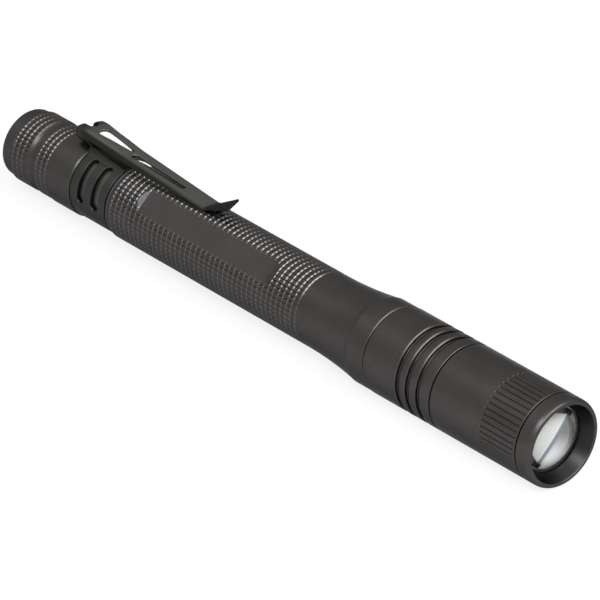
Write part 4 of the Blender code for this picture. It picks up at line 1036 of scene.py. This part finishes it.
def make_slot_tools():
    """Tools for the band's slots, flared at the outside."""
    tools = []
    middle = sum(BAND_SLOT_ANGLES) / 2
    half_turn = (BAND_SLOT_ANGLES[1] - BAND_SLOT_ANGLES[0]) / 2
    ends = [radians(88.0 * k / 8) for k in range(9)]
    levels = (
        (BAND_RADIUS - WALL - CUT_OVER / 2, 0.0), (BAND_RADIUS - SLOT_FLARE, 0.0),
        (BAND_RADIUS - SLOT_FLARE / 4, SLOT_FLARE / 3), (BAND_RADIUS + SLOT_FLARE / 4, SLOT_FLARE),
        (BAND_RADIUS + BAND_RISE, SLOT_FLARE),
    )
    edges = [(-1, *level) for level in levels] + [(1, *level) for level in reversed(levels)]
    for place, width in BAND_SLOTS:
        straight = half_turn * BAND_RADIUS - width / 2
        stations = [(-straight, -angle) for angle in reversed(ends)]
        stations += [(straight * (k / 12 - 1), 0.0) for k in range(1, 24)]
        stations += [(straight, angle) for angle in ends]
        for side in (1, -1):
            rings = []
            for start, opening in stations:
                ring = []
                for edge, radius, grow in edges:
                    half = width / 2 + grow
                    angle = side * (middle + (start + half * sin(opening)) / BAND_RADIUS)
                    x = band_x + place + edge * half * cos(opening)
                    ring.append((x, radius * sin(angle), axis_z + radius * cos(angle)))
                rings.append(ring)
            tools.append(lofted(f"slot_tool_{side}_{round(place / MM)}", rings))
    return tools


def arm_line(along):
    """Height of the arm's top over the axis, along from the bend's middle."""
    crown = 0.95 * ARM_SLOPE * along * (1 - smooth(along, 2.5 * MM, ARM_CROWN_END))
    return ARM_TOP - ARM_SLOPE * along + crown


def clip_path():
    """Stations of the strip's outer side, from the band to the tip.

    Each has place, facing, near and far half width, near and far curl, crown, skew and twist.
    """
    leg, arm, wide = LEG_HALF_WIDTH, ARM_HALF_WIDTH, ARM_TIP_HALF_WIDTH
    stations = []
    for x, z, curl, crown in (
        (2.5, 7.2, 0.0, 1.0), (1.2, 7.55, 0.1, 1.0), (0.2, 7.78, 0.3, 0.7), (-1.0, 7.8, 0.5, 0.3),
        (-2.4, 7.8, 0.7, 0.0),
    ):
        stations.append((x * MM, z * MM, -pi / 2, leg, leg, curl, 0.0, crown, 0.0, 0.0))
    for share in (k / 32 for k in range(33)):
        angle = -pi / 2 - (pi + atan(ARM_SLOPE)) * share
        x = BEND_X + BEND_RADIUS * cos(angle)
        z = LEG_LOW + BEND_RADIUS + BEND_RADIUS * sin(angle)
        near = leg + 0.3 * MM * smooth(share, 0.0, 0.4) + (arm - leg - 0.3 * MM) * smooth(share, 0.6, 1.0)
        far = leg + (arm + SHOULDER_FLARE - leg) * smooth(share, 0.5, 1.0)
        curl = 0.8 + (BEND_CURL - 0.8) * smooth(share, 0.0, 0.35)
        far_curl = 0.46 * smooth(share, 0.1, 0.5)
        skew = BEND_SKEW * smooth(share, 0.0, 0.4)
        stations.append((x, z, angle, near, far, curl, far_curl, 0.0, skew, 0.0))
    facing = stations[-1][2]
    crease = 0.7 * MM
    for k in range(1, 33):
        along = (ARM_LENGTH - crease) * (k / 32) ** 1.3
        share = along / ARM_LENGTH
        near = arm + (wide - arm) * share
        far = near + SHOULDER_FLARE * (1 - smooth(along, MM, 7 * MM))
        curl = 0.9 + (BEND_CURL - 0.9) * (1 - smooth(share, 0.15, 0.45)) - 0.46 * smooth(share, 0.6, 1.0)
        far_curl = 0.46 - 0.36 * share
        skew = BEND_SKEW * (1 - smooth(along, 0.0, 4 * MM))
        place = (BEND_X + along, arm_line(along))
        stations.append((*place, facing, near, far, curl, far_curl, 0.0, skew, 0.0))
    tip = Vector((BEND_X + ARM_LENGTH, ARM_TIP_HEIGHT))
    end = Vector((TIP_FORWARD, TIP_UP))
    tilt = pi / 2 + atan2(TIP_UP, TIP_FORWARD) - 2 * pi
    before = Vector(stations[-1][:2])
    after = tip + end.normalized() * crease
    for t in (k / 7 for k in range(1, 7)):
        place = before * (1 - t) ** 2 + tip * 2 * t * (1 - t) + after * t * t
        turn = facing + (tilt - facing) * t
        stations.append((*place, turn, wide, wide, 0.4 * (1 - t), 0.1 * (1 - t), 0.0, 0.0, 0.0))
    for back in (9.6, 7.2, 4.8, 2.4, 1.0, 0.75, 0.5, 0.25, 0.1, 0.0):
        share = 1 - back * TIP_CORNER / end.length
        round_off = TIP_CORNER * (1 - sqrt(1 - max(0.0, 1.0 - back) ** 2))
        near = wide - TIP_TAPER * share - round_off
        far = wide - round_off
        stations.append((*(tip + end * share), tilt, near, far, 0.0, 0.0, 0.0, 0.0, TIP_TWIST * share))
    return stations


def make_strip():
    """The folded strip: root on the band, leg, bend, arm and turned-up tip."""
    rings = []
    edge = 0.3 * WALL
    for x, z, facing, near, far, near_curl, far_curl, crown, skew, twist in clip_path():
        half = (near + far) / 2
        flat = half - edge
        top = [(flat * (k / 10 - 1), 0.0) for k in range(21)]
        side = [(half - edge * (1 - sin(a)), -edge * (1 - cos(a))) for a in (0.52, 1.05, 1.57)]
        side += [(y, -WALL - h) for y, h in reversed(side)]
        low = [(y, -WALL) for y, h in reversed(top)]
        ring = []
        along = x - BEND_X
        lip = FAR_LIP * smooth(along, 9.6 * MM, 10.8 * MM) * (1 - smooth(along, 24 * MM, 33 * MM))
        lip_low = FAR_LIP_LOW + 0.4 * MM * smooth(along, 12.5 * MM, 14 * MM)
        lip = max(0.0, min(lip, z - WALL - 0.45 * MM - lip_low))
        for y, height in top + side + low + [(-y, h) for y, h in reversed(side)]:
            low_half = height < -WALL / 2
            for sign, curl in ((-1, near_curl), (1, far_curl)):
                over = max(0.0, sign * y - half + EDGE_ROLL)
                height -= curl * (EDGE_ROLL_RADIUS - sqrt(EDGE_ROLL_RADIUS**2 - over * over))
            height += (y - half) * sin(twist)
            y += (far - near) / 2
            height += crown * (z - sqrt(z * z - y * y))
            if low_half and y > half + (far - near) / 2 - FAR_LIP_WALL:
                height -= lip
            px = x + cos(facing) * height + skew * smooth(y, -0.3 * MM, 1.3 * MM)
            ring.append((band_x + px, y, axis_z + z + sin(facing) * height))
        rings.append(ring)
    return lofted("clip_strip", rings)


def make_arm_tools():
    """Tools for the teardrop, the long slot and the notch through the bend."""
    tools = []
    levels = (
        (lambda x: ARM_TOP - 3 * WALL - x * ARM_SLOPE, 0.0), (lambda x: arm_line(x) - ARM_FLARE, 0.0),
        (lambda x: arm_line(x) + ARM_FLARE, 2 * ARM_FLARE), (lambda x: ARM_TOP + CUT_OVER, 2 * ARM_FLARE),
    )
    for number, ends in enumerate((EYE, LONG_SLOT)):
        rings = []
        for top, grow in levels:
            hole = tapered_hole(*ends, grow)
            rings.append([(band_x + BEND_X + x, y, axis_z + top(x)) for x, y in hole])
        tools.append(lofted(f"arm_tool_{number}", rings))
    outline = [(BEND_X - BEND_RADIUS - CUT_OVER, side * NOTCH_RADIUS) for side in (-1, 1)]
    for angle in (radians(90.0 - 15.0 * k) for k in range(13)):
        outline.append((BEND_X + NOTCH_X + NOTCH_RADIUS * cos(angle), NOTCH_RADIUS * sin(angle)))
    rings = []
    for z in (LEG_LOW + BEND_RADIUS / 2, ARM_TOP + CUT_OVER):
        rings.append([(band_x + x, NOTCH_Y + y, axis_z + z) for x, y in outline])
    tools.append(lofted("bend_tool", rings))
    return tools


def make_clip():
    strip = make_strip()
    settle(strip, make_arm_tools())
    clip = make_band()
    settle(clip, make_slot_tools(), [strip])
    dress(clip, "pocket_clip")


def make_ring(node):
    """Rubber ring as a true round section, in the place of its solid."""
    low, high = span(node)
    section = (high - low) / 2
    middle = reach(node) - section
    angles = [2 * pi * k / 16 for k in range(16)]
    outline = [((low + high) / 2 + section * cos(a), middle + section * sin(a)) for a in angles]
    dress(turned(node.replace("_o_ring", "_ring") + "_round", outline), node)


# Stage


def make_floor():
    mesh = bpy.data.meshes.new("floor")
    corners = [(x, y, -0.05 * MM) for x, y in ((-3.0, -3.0), (3.0, -3.0), (3.0, 3.0), (-3.0, 3.0))]
    mesh.from_pydata(corners, [], [(0, 1, 2, 3)])
    material = bpy.data.materials.new("floor_white")
    material.use_nodes = True
    nodes = material.node_tree.nodes
    nodes.remove(nodes["Principled BSDF"])
    tree = Tree(material.node_tree)
    path = tree.node("ShaderNodeLightPath")
    mirrored = path.out("Is Glossy Ray").most(path.out("Is Transmission Ray"))
    seen = (path.out("Is Camera Ray") * 0.85).most(mirrored * 0.2)
    paint = tree.node("ShaderNodeBsdfDiffuse", {"Color": (0.88, 0.88, 0.88, 1.0)})
    glow = tree.node("ShaderNodeEmission", {"Color": (1.0, 1.0, 1.0, 1.0), "Strength": 1.0})
    mixed = tree.node("ShaderNodeMixShader", {0: seen, 1: paint, 2: glow})
    tree.join(mixed, nodes["Material Output"].inputs["Surface"])
    mesh.materials.append(material)
    placed("floor", mesh)


def add_softbox(name, direction, across, half_angles, radiance, color=(1.0, 1.0, 1.0)):
    """Rectangular lamp, wide along across, that faces the light's middle."""
    lamp = bpy.data.lights.new(name, "AREA")
    lamp.shape = "RECTANGLE"
    lamp.color = color
    lamp.size, lamp.size_y = (2 * LAMP_DISTANCE * tan(radians(angle)) for angle in half_angles)
    lamp.energy = radiance * pi * lamp.size * lamp.size_y
    toward = Vector(direction).normalized()
    wide = Vector(across)
    wide = (wide - toward * wide.dot(toward)).normalized()
    holder = placed(name, lamp)
    holder.location = Vector((0.0, 0.0, axis_z)) + toward * LAMP_DISTANCE
    holder.rotation_euler = Matrix((wide, toward.cross(wide), toward)).transposed().to_euler()


def make_world(fill):
    world = bpy.data.worlds.new("studio")
    world.use_nodes = True
    bpy.context.scene.world = world
    tree = Tree(world.node_tree)
    path = tree.node("ShaderNodeLightPath")
    seen = path.out("Is Camera Ray").most(path.out("Is Glossy Ray"))
    seen = seen.most(path.out("Is Transmission Ray"))
    background = world.node_tree.nodes["Background"]
    background.inputs["Color"].default_value = (1.0, 1.0, 1.0, 1.0)
    tree.join(seen * (1.0 - fill) + fill, background.inputs["Strength"])


def make_camera():
    lens = bpy.data.cameras.new("camera")
    lens.sensor_width = 36.0
    lens.lens = 384.17
    lens.clip_start = 0.05
    lens.clip_end = 10.0
    camera = placed("camera", lens)
    camera.location = (0.771316, -0.722286, 0.553048)
    camera.rotation_euler = [radians(angle) for angle in (62.5886, -3.1829, 48.3621)]
    bpy.context.scene.camera = camera


def main():
    bpy.context.scene.view_settings.view_transform = "Standard"
    make_camera()
    make_world(0.35)
    make_floor()
    add_softbox("key_softbox", (0.63, -0.05, 0.76), (-0.2, 0.95, 0.2), (32.0, 9.0), 10.0)
    add_softbox("side_softbox", (0.20, -0.60, 0.77), (1.0, 0.0, 0.0), (18.0, 9.0), 12.0, (0.84, 0.90, 1.0))
    add_softbox("tail_softbox", (-0.65, -0.37, 0.67), (0.0, 1.0, 0.0), (12.0, 10.0), 0.6)

    make_barrel()
    make_tail_cap()
    make_button()
    make_switch_spring()
    make_head_body()
    make_focus_sleeve()
    make_bezel()
    make_lens()
    make_clip()
    for node in ("clip_o_ring", "focus_o_ring", "tail_o_ring", "head_o_ring", "lens_gasket"):
        make_ring(node)

    for node, solid in frame["nodes"].items():
        if not solid.hide_render:
            for slot in solid.material_slots:
                slot.material = finishes[slot_of[node]]


main()
